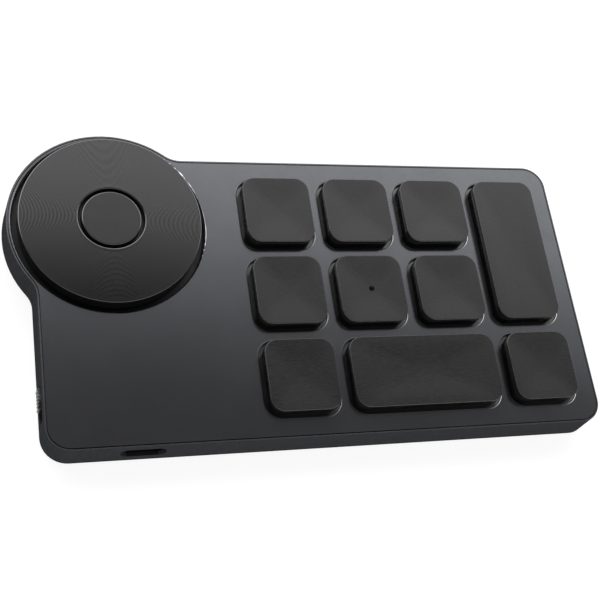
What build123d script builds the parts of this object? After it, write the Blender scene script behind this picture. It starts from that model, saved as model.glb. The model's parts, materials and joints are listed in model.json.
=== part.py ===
from build123d import *
import math
import os

# A low desk keypad: ten sprung keys, an endless dial with a button in its centre, a power slider
# in the left wall and a charging port in the front wall. Sizes are in millimetres.
#
# Frame: +Z up, +X to the right and +Y to the back as the user sees it, with the origin under the
# middle of the bounding box, on the plane that the feet stand on.
#
# A name that ends in GAP, FIT or CLEAR is the space left between two pieces. Names that start
# with Z_ are heights above the desk.

# ---------------------------------------------------------------- driving dimensions: keys
KEY_WIDTH = 15.05           # top face of a single key
KEY_DEPTH = 15.5
KEY_GAP_X = 3.35            # between neighbouring keys
KEY_GAP_Y = 3.38
KEY_CORNER_R = 3.0
KEY_EDGE_R = 0.35
KEY_RISE = 2.6              # key and dial tops above the plate
KEY_TRAVEL = 1.2
KEY_ROOF_T = 1.2
KEY_WALL_T = 1.2
HOMING_NUB_R = 0.55
HOMING_NUB_RISE = 0.35
WINDOW_CLEAR = 0.65         # key to the edge of its window in the plate
FLANGE_LAP = 0.5            # key flange under the plate
FLANGE_T = 0.75
STOP_GAP = 0.05             # left at each end of a travel, so that no faces press at rest

# ---------------------------------------------------------------- driving dimensions: casing
RIGHT_AREA = 6.105          # outer wall's bottom edge from the last column of keys
BACK_AREA = 5.79            # the same from the back row
FRONT_AREA = 5.40           # the same from the front row
BODY_CORNER_R = 5.4
BLEND_R = 5.2               # hollow curve between the round bump and the straight walls
BUMP_WALL = 1.5             # bottom edge of the bump from the dial's well
BUMP_PROUD = 5.36           # how far the bump stands out beyond the left wall
WALL_HEIGHT = 7.0           # bottom edge of the wall to the plate's top face
WALL_DRAFT = 0.45           # how far the wall leans in over its height
WALL_T = 1.5
RIM_T = 0.35                # the wall's thin rim beside the plate
RIM_EDGE = 0.1              # chamfer on the rim's outer edge
PLATE_GROOVE = 0.2          # the dark line between rim and plate
PLATE_T = 1.0
PLATE_EDGE_R = 0.3          # rounded top edge of the windows and of the dial's opening
TAPE_T = 0.15
LEDGE_WIDTH = 1.6           # how far the plate rests on the wall's ledge
LEDGE_T = 0.9
COVER_T = 1.2
COVER_INSET = 0.6           # cover's edge from the wall's bottom edge
COVER_CHAMFER = 0.4
LIP_H = 0.8                 # the cover's locating lip
LIP_T = 0.8
LIP_CLEAR = 0.15
FOOT_HEIGHT = 0.8           # foot below the cover
FOOT_R = 4.5
FOOT_EDGE = 0.25
FOOT_POCKET = 0.4
FOOT_INSET = 11.0           # feet from the straight walls
FOOT_CLEAR = 0.1

# ---------------------------------------------------------------- driving dimensions: key works
MAT_T = 0.3
DOME_H = 1.9
DOME_BASE_R = 2.7
DOME_TOP_R = 1.7
DOME_WALL = 0.45
PLUNGER_W = 5.7
PLUNGER_CORNER_R = 0.6
PLUNGER_FIT = 0.05          # plunger to sleeve, each side
SLEEVE_WALL = 1.0
SLEEVE_HEADROOM = 0.4
GUIDE_T = 0.95
GUIDE_BORDER = 0.4
GUIDE_RIB_T = 1.0
WIRE_R = 0.45               # stabiliser wire of the two long keys
WIRE_FIT = 0.05
WIRE_ARM = 5.5
WIRE_ARM_INSET = 3.2        # wire arm from the inside of the key's end wall
WIRE_BEND_R = 1.0
WIRE_BAR_OFFSET = 5.0       # bar from the key's middle line
WIRE_GROUND_GAP = 0.15      # lowest place of the wire's ends above the guide
WIRE_END_GAP = 0.9          # wire arm to the key's lug
WIRE_END_PROUD = 0.3        # wire end beyond the lug
CLIP_WIDTH = 1.6
CLIP_WALL = 0.8
CLIP_FROM_ARM = 3.2
CLIP_MOUTH = 0.75           # width of the clip's snap opening
LUG_T = 1.5
LUG_WIDTH = 2.8
LUG_FLOOR = 0.75
LUG_SLOT = 1.5
LUG_CLEAR = 0.35

# ---------------------------------------------------------------- driving dimensions: dial
WELL_FROM_KEYS = 8.635      # edge of the dial's well, left of the first column of keys
DIAL_FROM_GRID_Y = 2.30     # dial axis, in front of the back row's middle
DIAL_R = 18.8
DIAL_GAP = 1.2              # dial to the wall of its well
DIAL_ROOF_T = 1.2
DIAL_WALL_T = 1.4
DIAL_EDGE = 0.3
DIAL_BORE_EDGE = 0.2
DIAL_FLOOR_GAP = 0.5
WELL_DEPTH = 2.2
WELL_FLOOR_T = 0.8
WELL_FLOOR_FIT = 0.05
WELL_SEAT = 0.9             # width and height of the ledge that carries the well's floor
WELL_SEAT_H = 0.6
WELL_WALL_T = 1.2
BUTTON_R = 6.1              # centre button
BUTTON_GAP = 0.85           # button to the dial's bore
BUTTON_TRAVEL = 0.8
BUTTON_ROOF_T = 1.5
BUTTON_WALL_T = 1.1
BUTTON_EDGE = 0.2
BUTTON_FIT = 0.08
BUTTON_COLLAR = 0.5         # how far the collar stands out from the button
BUTTON_COLLAR_H = 0.95
BUTTON_STEM_R = 1.8
POST_WALL = 1.4             # fixed tube that carries the dial and guides the button
POST_FLANGE_T = 0.7
POST_LIP_T = 0.6
POST_TIP = 0.35             # post above the ring's groove
POST_EARS = 3
WASHER_T = 0.3
WASHER_LAP = 0.5            # washer beyond the bush, under the hub
SHAFT_FIT = 0.05
BUSH_WALL = 0.95
BUSH_PRESS_GAP = 0.02
HUB_WALL = 1.4
HUB_DISC_T = 0.8
HUB_DISC_GAP = 0.2
HUB_POCKET_H = 0.6          # room above the bush for the retaining ring
HUB_POCKET_GAP = 0.3
MAGNET_WALL = 1.2
MAGNET_H = 1.3
MAGNET_GAP = 0.6            # magnet ring to the hole in the well's floor
RING_T = 0.3
RING_LAP = 0.85             # retaining ring beyond the post
RING_GROOVE_DEPTH = 0.45
RING_FIT = 0.02
RING_MOUTH = 3.0

# ---------------------------------------------------------------- driving dimensions: electrics
BOARD_T = 1.2
BOARD_CLEAR_Z = 1.0         # cover to board
BOARD_FLANGE_CLEAR = 0.05   # board edge to the power slider's flange, which runs beside it
CHIP_T = 0.8
CHIP_FROM_POST = 4.7        # chips from the magnet ring's mean circle
SENSOR_W = 2.0
SHIELD_WIDTH = 5.6
SHIELD_DEPTH = 5.0
SHIELD_H = 1.6
PORT_FROM_KEYS = 25.375     # charging port's middle, left of the first column of keys
PORT_WIDTH = 8.94
PORT_HEIGHT = 3.16
PORT_DEPTH = 7.3
PORT_SHELL_T = 0.3
PORT_SETBACK = 0.9          # mouth behind the wall's bottom edge
PORT_SLOT_CLEAR = 0.13
PORT_TAB_WIDTH = 0.7
PORT_TAB_LENGTH = 1.5
TONGUE_T = 0.7
TONGUE_WIDTH = 6.7
TONGUE_SETBACK = 0.8
TONGUE_ROOT = 1.5
SLIDER_FROM_GRID_Y = 38.9   # power slider in its rear place, in front of the back row's middle
SLIDER_DROP = 3.7           # slider's middle line below the plate's top face
SLIDER_LENGTH = 4.4
SLIDER_HEIGHT = 3.0
SLIDER_TRAVEL = 2.2
SLIDER_PROUD = 0.6          # knob beyond the wall
SLIDER_EDGE = 0.25
SLIDER_RIBS = 5
SLIDER_RIB_DEPTH = 0.35
SLIDER_END_LAND = 0.4       # plain strip at each end of the ribs
SLIDER_CLEAR = 0.25         # knob to slot
SLIDER_FLANGE_T = 0.6
SLIDER_FLANGE_LAP = 0.8
SLIDER_FLANGE_GAP = 0.15
FORK_WALL = 0.8
FORK_GAP = 0.3              # fork to board and to switch
SWITCH_LENGTH = 7.0
SWITCH_DEPTH = 2.8
SWITCH_H = 2.2
SWITCH_FLOOR = 0.5
SWITCH_ROOF = 0.4
SWITCH_POCKET = 1.2
SWITCH_FROM_WALL = 2.0
NUB_W = 1.3
NUB_LENGTH = 2.1
NUB_CLEAR = 0.1
BATTERY_T = 4.0
BATTERY_CORNER_R = 1.0
BATTERY_TAPE_T = 0.2
BATTERY_TAPE_INSET = 2.0
BATTERY_CLEAR = 1.0
BATTERY_STRIP = 0.5         # board that stays between the battery's cut-out and its neighbours
LEAD_R = 0.45
LEAD_SPACING = 1.6
LEAD_LENGTH = 2.7
HEADER_LENGTH = 3.2
HEADER_WIDTH = 4.4
HEADER_H = 1.6
HEADER_WALL = 0.4
HEADER_OFFSET = 4.0         # battery's socket behind the battery's middle line
PLUG_LENGTH = 2.9
PLUG_OUT = 0.1              # plug in front of its socket's mouth

# ---------------------------------------------------------------- driving dimensions: screws
SCREW_R = 0.8               # thread
SCREW_HEAD_R = 1.5
SCREW_HEAD_T = 0.6
SCREW_SOCKET_R = 0.6
SCREW_CLEAR = 0.1
SCREW_BITE = 1.7            # how far the board's screws reach into their bosses
COVER_SCREW_LENGTH = 4.5
BOSS_R = 1.9
BOSS_INSET = 4.0            # bosses from the outer wall
BOSS_CLEAR = 0.4
BOSS_SPACE = 2.5            # between two bosses that stand side by side
BOSS_ROOF = 0.2             # boss below the tape
SKIN = 0.2                  # bosses stay this far behind the pocket's wall

CUT = 1.0                   # how far a cutting solid runs past the faces that it cuts
WELD = 0.2                  # how far two solids of one piece reach into each other

# Keys: name, first column, first row, columns covered, rows covered. Row 0 is the back row.
KEYS = [
    ("key_back_1", 0, 0, 1, 1),
    ("key_back_2", 1, 0, 1, 1),
    ("key_back_3", 2, 0, 1, 1),
    ("key_tall", 3, 0, 1, 2),
    ("key_middle_1", 0, 1, 1, 1),
    ("key_middle_2", 1, 1, 1, 1),
    ("key_middle_3", 2, 1, 1, 1),
    ("key_front_1", 0, 2, 1, 1),
    ("key_wide", 1, 2, 2, 1),
    ("key_front_4", 3, 2, 1, 1),
]
COLUMNS = 4
ROWS = 3
HOMING_KEY = "key_middle_2"

# Places where four key corners meet, in column and row numbers: screws hold the key guide there.
GUIDE_SCREW_GRID = [(0.5, 0.5), (1.5, 0.5), (0.5, 1.5), (2.5, 1.5)]

# Small parts on the board round the dial: width, depth and direction from the dial in degrees.
CHIPS = [(4.0, 4.0, 180), (3.0, 3.0, 0), (1.6, 0.8, 18), (1.6, 0.8, -12), (1.6, 0.8, 165),
         (1.6, 0.8, 60), (1.6, 0.8, 120)]
SENSOR_DIRECTIONS = [30, 150]

# ---------------------------------------------------------------- plan, worked out from them
PITCH_X = KEY_WIDTH + KEY_GAP_X
PITCH_Y = KEY_DEPTH + KEY_GAP_Y
WELL_R = DIAL_R + DIAL_GAP
BUMP_R = WELL_R + BUMP_WALL
DIAL_FROM_KEYS = WELL_R + WELL_FROM_KEYS
LEFT_EXTENT = KEY_WIDTH / 2 + DIAL_FROM_KEYS + BUMP_R
RIGHT_EXTENT = (COLUMNS - 1) * PITCH_X + KEY_WIDTH / 2 + RIGHT_AREA
FRONT_EXTENT = (ROWS - 1) * PITCH_Y + KEY_DEPTH / 2 + FRONT_AREA
BACK_EXTENT = max(BUMP_R - DIAL_FROM_GRID_Y, KEY_DEPTH / 2 + BACK_AREA)
GRID_X = (LEFT_EXTENT - RIGHT_EXTENT) / 2       # middle of the back left key
GRID_Y = (FRONT_EXTENT - BACK_EXTENT) / 2
KEYS_LEFT = GRID_X - KEY_WIDTH / 2

DIAL_X = KEYS_LEFT - DIAL_FROM_KEYS
DIAL_Y = GRID_Y - DIAL_FROM_GRID_Y
WALL_LEFT = DIAL_X - BUMP_R + BUMP_PROUD
WALL_RIGHT = GRID_X + RIGHT_EXTENT
WALL_FRONT = GRID_Y - FRONT_EXTENT
WALL_BACK = GRID_Y + KEY_DEPTH / 2 + BACK_AREA

POCKET_INSET = WALL_DRAFT + RIM_T               # insets are from the wall's bottom edge
PLATE_INSET = POCKET_INSET + PLATE_GROOVE
LEDGE_INSET = PLATE_INSET + LEDGE_WIDTH
CAVITY_INSET = WALL_DRAFT + WALL_T
LIP_INSET = CAVITY_INSET + LIP_CLEAR
BOARD_INSET = CAVITY_INSET + SLIDER_FLANGE_GAP + SLIDER_FLANGE_T + BOARD_FLANGE_CLEAR
DRAFT_ANGLE = math.degrees(math.atan(WALL_DRAFT / WALL_HEIGHT))

FLANGE_MARGIN = WINDOW_CLEAR + FLANGE_LAP
GUIDE_MARGIN = FLANGE_MARGIN + GUIDE_BORDER
WIRE_SLOPE = math.degrees(math.asin(KEY_TRAVEL / 2 / WIRE_ARM))
LUG_FROM_ARM = WIRE_END_GAP + LUG_T / 2

DIAL_BORE_R = BUTTON_R + BUTTON_GAP
COLLAR_R = BUTTON_R + BUTTON_COLLAR - BUTTON_FIT
POST_BORE_R = BUTTON_R + BUTTON_COLLAR
POST_R = POST_BORE_R + POST_WALL
BUSH_BORE_R = POST_R + SHAFT_FIT
BUSH_R = BUSH_BORE_R + BUSH_WALL
HUB_BORE_R = BUSH_R + BUSH_PRESS_GAP
HUB_R = HUB_BORE_R + HUB_WALL
WASHER_R = BUSH_R + WASHER_LAP
MAGNET_R = HUB_R + MAGNET_WALL
EAR_CIRCLE_R = MAGNET_R + MAGNET_GAP + SCREW_HEAD_R
WELL_HOLE_R = MAGNET_R + MAGNET_GAP
HUB_DISC_R = DIAL_R - DIAL_WALL_T - HUB_DISC_GAP
SENSOR_CIRCLE_R = (HUB_R + MAGNET_R) / 2
CHIP_CIRCLE_R = SENSOR_CIRCLE_R + CHIP_FROM_POST

PORT_X = KEYS_LEFT - PORT_FROM_KEYS
PORT_FRONT = WALL_FRONT + PORT_SETBACK
PORT_REAR = PORT_FRONT + PORT_DEPTH
SLIDER_Y = GRID_Y - SLIDER_FROM_GRID_Y
SWITCH_X = WALL_LEFT + CAVITY_INSET + SWITCH_FROM_WALL
HEADER_RIGHT = KEYS_LEFT - GUIDE_MARGIN - FORK_GAP
HEADER_LEFT = HEADER_RIGHT - HEADER_LENGTH
PLUG_LEFT = HEADER_LEFT - PLUG_OUT
BATTERY_LEFT = SWITCH_X + SWITCH_DEPTH + BATTERY_STRIP + BATTERY_CLEAR
BATTERY_RIGHT = PLUG_LEFT - LEAD_LENGTH
BATTERY_FRONT = PORT_REAR + BATTERY_STRIP + BATTERY_CLEAR
BATTERY_BACK = DIAL_Y - WELL_R - WELL_WALL_T - BATTERY_CLEAR
HEADER_Y = (BATTERY_FRONT + BATTERY_BACK) / 2 + HEADER_OFFSET

# ---------------------------------------------------------------- heights, worked out from them
Z_COVER = FOOT_HEIGHT
Z_FLOOR = Z_COVER + COVER_T                     # cover's inner face and the wall's bottom edge
Z_BOARD = Z_FLOOR + BOARD_CLEAR_Z
Z_BOARD_TOP = Z_BOARD + BOARD_T
Z_MAT_TOP = Z_BOARD_TOP + MAT_T
Z_DOME_TOP = Z_MAT_TOP + DOME_H
Z_PLATE_TOP = Z_FLOOR + WALL_HEIGHT
Z_PLATE = Z_PLATE_TOP - PLATE_T
Z_LEDGE_TOP = Z_PLATE - TAPE_T
Z_LEDGE = Z_LEDGE_TOP - LEDGE_T
Z_TOP = Z_PLATE_TOP + KEY_RISE

Z_FLANGE_TOP = Z_PLATE - STOP_GAP
Z_FLANGE = Z_FLANGE_TOP - FLANGE_T
Z_GUIDE_TOP = Z_FLANGE - KEY_TRAVEL - STOP_GAP
Z_GUIDE = Z_GUIDE_TOP - GUIDE_T
Z_KEY_ROOF = Z_TOP - KEY_ROOF_T
Z_SLEEVE_TOP = Z_KEY_ROOF - KEY_TRAVEL - SLEEVE_HEADROOM
Z_WIRE_BAR = Z_GUIDE_TOP + WIRE_GROUND_GAP + WIRE_R + KEY_TRAVEL / 2
Z_WIRE_TIP = Z_WIRE_BAR + KEY_TRAVEL / 2

Z_WELL = Z_PLATE_TOP - WELL_DEPTH
Z_WELL_SEAT = Z_WELL - WELL_FLOOR_T
Z_DIAL = Z_WELL + DIAL_FLOOR_GAP
Z_DIAL_ROOF = Z_TOP - DIAL_ROOF_T
Z_HUB_DISC = Z_DIAL_ROOF - HUB_DISC_T
Z_BUSH_TOP = Z_HUB_DISC - HUB_POCKET_H
Z_RING = Z_BUSH_TOP + STOP_GAP
Z_RING_TOP = Z_RING + RING_T
Z_POST_TOP = Z_RING_TOP + POST_TIP
Z_POST_FLANGE = Z_BOARD_TOP + POST_FLANGE_T
Z_HUB = Z_POST_FLANGE + WASHER_T
Z_COLLAR_TOP = Z_POST_TOP - POST_LIP_T - STOP_GAP
Z_COLLAR = Z_COLLAR_TOP - BUTTON_COLLAR_H
Z_BUTTON_ROOF = Z_TOP - BUTTON_ROOF_T
Z_BUTTON_DOME_TOP = Z_BOARD_TOP + DOME_H

Z_PORT = Z_BOARD_TOP + PORT_HEIGHT / 2
Z_SLIDER = Z_PLATE_TOP - SLIDER_DROP


# ---------------------------------------------------------------- places
def grid(column, row):
    """Place of a grid point, where whole numbers are key centres."""
    return GRID_X + column * PITCH_X, GRID_Y - row * PITCH_Y


def boss_lines():
    """The lines that screw bosses stand on, inside the straight walls: left, right, front, back."""
    along_x = (WALL_LEFT + BOSS_INSET, WALL_RIGHT - BOSS_INSET)
    return along_x + (WALL_FRONT + BOSS_INSET, WALL_BACK - BOSS_INSET)


def slider_boss_y():
    """The board's boss on the left side, behind the slider's flange."""
    return SLIDER_Y + SLIDER_LENGTH / 2 + SLIDER_FLANGE_LAP + BOSS_R + BOSS_CLEAR


def cover_boss_points():
    """Screw bosses for the bottom cover."""
    left, right, front, back = boss_lines()
    beside_dial = DIAL_X + BUMP_R + BLEND_R
    behind_keys = grid(1.5, 0)[0]
    before_dial = slider_boss_y() + 2 * BOSS_R + BOSS_SPACE
    return [(left, front), (beside_dial, front), (right, front), (right, back),
            (behind_keys, back), (beside_dial, back), (left, before_dial)]


def board_boss_points():
    """Screw bosses that the board hangs from."""
    left, right, front, back = boss_lines()
    between_1_2 = grid(0.5, 0)[0]
    between_3_4 = grid(2.5, 0)[0]
    beside_port = PORT_X + PORT_WIDTH + BOSS_R
    return [(between_1_2, back), (between_3_4, back), (between_1_2, front), (between_3_4, front),
            (beside_port, front), (left, slider_boss_y())]


def guide_screw_points():
    return [grid(column, row) for column, row in GUIDE_SCREW_GRID]


def round_dial(r, degrees):
    """A point on a circle round the dial's axis."""
    angle = math.radians(degrees)
    return DIAL_X + r * math.cos(angle), DIAL_Y + r * math.sin(angle)


def ear_directions():
    return [90 + 360 / POST_EARS * i for i in range(POST_EARS)]


def ear_points():
    """Screws round the dial's post."""
    return [round_dial(EAR_CIRCLE_R, degrees) for degrees in ear_directions()]


def foot_points():
    """Feet near the four corners; the back left one stands under the dial."""
    left = WALL_LEFT + FOOT_INSET
    right = WALL_RIGHT - FOOT_INSET
    front = WALL_FRONT + FOOT_INSET
    back = WALL_BACK - FOOT_INSET
    return [(left, front), (right, front), (left, back), (right, back)]


# ---------------------------------------------------------------- shared shapes
def body_face(inset):
    """The body's outline, moved inwards by inset: a rounded rectangle joined to a round bump."""
    width = WALL_RIGHT - WALL_LEFT - 2 * inset
    depth = WALL_BACK - WALL_FRONT - 2 * inset
    middle = Pos((WALL_LEFT + WALL_RIGHT) / 2, (WALL_FRONT + WALL_BACK) / 2)
    bump_r = BUMP_R - inset
    outline = middle * RectangleRounded(width, depth, BODY_CORNER_R - inset)
    outline += Pos(DIAL_X, DIAL_Y) * Circle(bump_r)
    centre = Vector(DIAL_X, DIAL_Y, 0)
    crossings = [v for v in outline.vertices() if abs((Vector(v) - centre).length - bump_r) < 1e-4]
    return fillet(crossings, BLEND_R + inset)


def body_block(inset, low, high):
    """A straight slab of the body's outline between two heights."""
    return extrude(Pos(0, 0, low) * body_face(inset), high - low)


def cylinder_at(x, y, r, low, high):
    return Pos(x, y, (low + high) / 2) * Cylinder(r, high - low)


def tube_at(x, y, r_out, r_in, low, high):
    return cylinder_at(x, y, r_out, low, high) - cylinder_at(x, y, r_in, low - CUT, high + CUT)


def dial_tube(r_out, r_in, low, high):
    return tube_at(DIAL_X, DIAL_Y, r_out, r_in, low, high)


def dial_disc(r, low, high):
    return cylinder_at(DIAL_X, DIAL_Y, r, low, high)


def box_between(x0, x1, y0, y1, z0, z1):
    centre = Pos((x0 + x1) / 2, (y0 + y1) / 2, (z0 + z1) / 2)
    return centre * Box(x1 - x0, y1 - y0, z1 - z0)


def box_round(x, y, width, depth, z0, z1):
    """A box with its middle at x, y."""
    return box_between(x - width / 2, x + width / 2, y - depth / 2, y + depth / 2, z0, z1)


def rounded_block(x, y, width, depth, r, low, high):
    return extrude(Pos(x, y, low) * RectangleRounded(width, depth, r), high - low)


def group(solids):
    """Separate solids in one node."""
    return Compound(children=[solid.solid() for solid in solids])


def drilled(shape, points, r, low, high):
    """The shape with a round hole at each point."""
    for x, y in points:
        shape -= cylinder_at(x, y, r, low - CUT, high + CUT)
    return shape


def screw(x, y, z_head, length):
    """A pan head screw with its head below z_head, a socket in the head and its thread above."""
    z_bottom = z_head - SCREW_HEAD_T
    solid = cylinder_at(x, y, SCREW_HEAD_R, z_bottom, z_head)
    solid += cylinder_at(x, y, SCREW_R, z_head, z_head + length)
    return solid - cylinder_at(x, y, SCREW_SOCKET_R, z_bottom - CUT, z_head - SCREW_HEAD_T / 2)


def key_place(key):
    """Centre and top face size of a key."""
    name, column, row, columns, rows = key
    x, y = grid(column + (columns - 1) / 2, row + (rows - 1) / 2)
    return x, y, KEY_WIDTH + (columns - 1) * PITCH_X, KEY_DEPTH + (rows - 1) * PITCH_Y


def key_block(key, margin, low, high):
    """A block of the key's outline, grown by margin."""
    x, y, width, depth = key_place(key)
    return rounded_block(x, y, width + 2 * margin, depth + 2 * margin, KEY_CORNER_R + margin, low, high)


def is_long(key):
    return key[3] > 1 or key[4] > 1


def long_key_place(key):
    """Location that lays a long key's length along X, and the distance of its wire's arms."""
    x, y, width, depth = key_place(key)
    turn = 0 if width > depth else 90
    arm_x = max(width, depth) / 2 - KEY_WALL_T - WIRE_ARM_INSET
    return Pos(x, y, 0) * Rot(0, 0, turn), arm_x


# ---------------------------------------------------------------- casing
def side_frame():
    """The wall all round, its ledge for the plate, the ring round the dial and the screw bosses."""
    frame = extrude(Pos(0, 0, Z_FLOOR) * body_face(0), WALL_HEIGHT, taper=DRAFT_ANGLE)
    frame = chamfer(frame.faces().sort_by(Axis.Z)[-1].outer_wire().edges(), RIM_EDGE)
    frame -= body_block(POCKET_INSET, Z_LEDGE_TOP, Z_PLATE_TOP + CUT)
    frame -= body_block(CAVITY_INSET, Z_FLOOR - CUT, Z_LEDGE)
    frame -= body_block(LEDGE_INSET, Z_LEDGE - CUT, Z_PLATE_TOP + CUT)
    frame -= dial_disc(WELL_R, Z_LEDGE - CUT, Z_PLATE_TOP + CUT)
    frame += well_ring()
    skin = body_block(POCKET_INSET + SKIN, Z_FLOOR, Z_LEDGE_TOP)
    for low, points in ((Z_FLOOR, cover_boss_points()), (Z_BOARD_TOP, board_boss_points())):
        for x, y in points:
            frame += cylinder_at(x, y, BOSS_R, low, Z_LEDGE_TOP - BOSS_ROOF) & skin
        frame = drilled(frame, points, SCREW_R, low, Z_LEDGE - CUT)
    return frame - port_slot() - slider_slot()


def well_ring():
    """The ring that walls the dial's well, with the seat for the well's floor at its foot."""
    z_foot = Z_WELL_SEAT - WELL_SEAT_H
    ring = dial_tube(WELL_R + WELL_WALL_T, WELL_R, z_foot, Z_LEDGE_TOP)
    ring += dial_tube(WELL_R + WELL_WALL_T / 2, WELL_R - WELL_SEAT, z_foot, Z_WELL_SEAT)
    return ring & body_block(POCKET_INSET, z_foot, Z_LEDGE_TOP)


def port_slot():
    """The rounded opening in the front wall."""
    slot = Plane.XZ * SlotOverall(PORT_WIDTH + 2 * PORT_SLOT_CLEAR, PORT_HEIGHT + 2 * PORT_SLOT_CLEAR)
    return Pos(PORT_X, WALL_FRONT + CAVITY_INSET + CUT, Z_PORT) * extrude(slot, CAVITY_INSET + 2 * CUT)


def slider_slot():
    """The opening in the left wall, as long as the knob and its travel."""
    y_back = SLIDER_Y + SLIDER_LENGTH / 2 + SLIDER_CLEAR
    y_front = SLIDER_Y - SLIDER_LENGTH / 2 - SLIDER_TRAVEL - SLIDER_CLEAR
    half = SLIDER_HEIGHT / 2 + SLIDER_CLEAR
    x_in = WALL_LEFT + CAVITY_INSET + SLIDER_CLEAR
    return box_between(WALL_LEFT - CUT, x_in, y_front, y_back, Z_SLIDER - half, Z_SLIDER + half)


def top_plate():
    """The flat metal plate, with rounded edges round the keys' windows and the dial's opening."""
    plate = body_block(PLATE_INSET, Z_PLATE, Z_PLATE_TOP)
    for key in KEYS:
        plate -= key_block(key, WINDOW_CLEAR, Z_PLATE - CUT, Z_PLATE_TOP + CUT)
    plate -= dial_disc(WELL_R, Z_PLATE - CUT, Z_PLATE_TOP + CUT)
    openings = plate.faces().sort_by(Axis.Z)[-1].inner_wires()
    return fillet([edge for wire in openings for edge in wire.edges()], PLATE_EDGE_R)


def plate_tape():
    """The thin adhesive gasket that holds the plate on the ledge."""
    tape = body_block(PLATE_INSET, Z_LEDGE_TOP, Z_PLATE)
    tape -= body_block(LEDGE_INSET, Z_LEDGE_TOP - CUT, Z_PLATE + CUT)
    return tape - dial_disc(WELL_R, Z_LEDGE_TOP - CUT, Z_PLATE + CUT)


def bottom_cover():
    """The bottom, with a raised lip that locates it inside the wall, foot pockets and screw holes."""
    cover = body_block(COVER_INSET, Z_COVER, Z_FLOOR)
    cover = chamfer(cover.faces().sort_by(Axis.Z)[0].outer_wire().edges(), COVER_CHAMFER)
    z_lip = Z_FLOOR + LIP_H
    lip = body_block(LIP_INSET, Z_FLOOR, z_lip)
    lip -= body_block(LIP_INSET + LIP_T, Z_FLOOR - CUT, z_lip + CUT)
    cover += drilled(lip, cover_boss_points() + board_boss_points(), BOSS_R + BOSS_CLEAR, Z_FLOOR, z_lip)
    cover = drilled(cover, cover_boss_points(), SCREW_R + SCREW_CLEAR, Z_COVER, Z_FLOOR)
    for x, y in cover_boss_points():
        cover -= cylinder_at(x, y, SCREW_HEAD_R + SCREW_CLEAR, Z_COVER - CUT, Z_COVER + SCREW_HEAD_T)
    for x, y in foot_points():
        cover -= cylinder_at(x, y, FOOT_R + FOOT_CLEAR, Z_COVER - CUT, Z_COVER + FOOT_POCKET)
    return cover


def rubber_feet():
    feet = []
    for x, y in foot_points():
        foot = cylinder_at(x, y, FOOT_R, 0, Z_COVER + FOOT_POCKET)
        feet.append(chamfer(foot.faces().sort_by(Axis.Z)[0].edges(), FOOT_EDGE))
    return group(feet)


def cover_screws():
    z_head = Z_COVER + SCREW_HEAD_T
    return group([screw(x, y, z_head, COVER_SCREW_LENGTH) for x, y in cover_boss_points()])


# ---------------------------------------------------------------- board and electrics
def main_board():
    """The circuit board, cut out round the cover's bosses and the battery."""
    board = body_block(BOARD_INSET, Z_BOARD, Z_BOARD_TOP)
    board = drilled(board, cover_boss_points(), BOSS_R + BOSS_CLEAR, Z_BOARD, Z_BOARD_TOP)
    screws = board_boss_points() + guide_screw_points() + ear_points()
    board = drilled(board, screws, SCREW_R + SCREW_CLEAR, Z_BOARD, Z_BOARD_TOP)
    return board - battery_block(BATTERY_CLEAR, Z_BOARD - CUT, Z_BOARD_TOP + CUT)


def board_screws():
    length = BOARD_T + SCREW_BITE
    return group([screw(x, y, Z_BOARD, length) for x, y in board_boss_points()])


def guide_screws():
    length = BOARD_T + Z_GUIDE_TOP - Z_BOARD_TOP - SCREW_CLEAR
    return group([screw(x, y, Z_BOARD, length) for x, y in guide_screw_points()])


def board_part(r, degrees, width, depth):
    """A small soldered part on a circle round the dial's axis."""
    x, y = round_dial(r, degrees)
    return box_round(x, y, width, depth, Z_BOARD_TOP, Z_BOARD_TOP + CHIP_T)


def board_chips():
    return group([board_part(CHIP_CIRCLE_R, degrees, width, depth) for width, depth, degrees in CHIPS])


def dial_sensors():
    """Two magnetic sensors under the dial's magnet ring, between the post's ears."""
    return group([board_part(SENSOR_CIRCLE_R, turn, SENSOR_W, SENSOR_W) for turn in SENSOR_DIRECTIONS])


def shield_can():
    """The pressed metal can over the radio, on the front strip of the board beside the port."""
    x = PORT_X + PORT_WIDTH + 2 * BOSS_R + BOSS_CLEAR + SHIELD_WIDTH / 2
    y = WALL_FRONT + BOARD_INSET + BOSS_CLEAR + SHIELD_DEPTH / 2
    return box_round(x, y, SHIELD_WIDTH, SHIELD_DEPTH, Z_BOARD_TOP, Z_BOARD_TOP + SHIELD_H)


def battery_block(margin, low, high):
    x = (BATTERY_LEFT + BATTERY_RIGHT) / 2
    y = (BATTERY_FRONT + BATTERY_BACK) / 2
    width = BATTERY_RIGHT - BATTERY_LEFT + 2 * margin
    depth = BATTERY_BACK - BATTERY_FRONT + 2 * margin
    return rounded_block(x, y, width, depth, BATTERY_CORNER_R + max(margin, 0), low, high)


def battery_cell():
    z0 = Z_FLOOR + BATTERY_TAPE_T
    return battery_block(0, z0, z0 + BATTERY_T)


def battery_tape():
    return battery_block(-BATTERY_TAPE_INSET, Z_FLOOR, Z_FLOOR + BATTERY_TAPE_T)


def battery_header():
    """The socket on the board that the battery's plug goes into, open towards the battery."""
    half = HEADER_WIDTH / 2
    inner = half - HEADER_WALL
    z1 = Z_BOARD_TOP + HEADER_H
    shell = box_between(HEADER_LEFT, HEADER_RIGHT, HEADER_Y - half, HEADER_Y + half, Z_BOARD_TOP, z1)
    return shell - box_between(HEADER_LEFT - CUT, HEADER_RIGHT - HEADER_WALL, HEADER_Y - inner,
                               HEADER_Y + inner, Z_BOARD_TOP + HEADER_WALL, z1 + CUT)


def battery_plug():
    inner = HEADER_WIDTH / 2 - HEADER_WALL
    z0 = Z_BOARD_TOP + HEADER_WALL
    return box_between(PLUG_LEFT, PLUG_LEFT + PLUG_LENGTH, HEADER_Y - inner, HEADER_Y + inner, z0,
                       Z_BOARD_TOP + HEADER_H)


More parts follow.
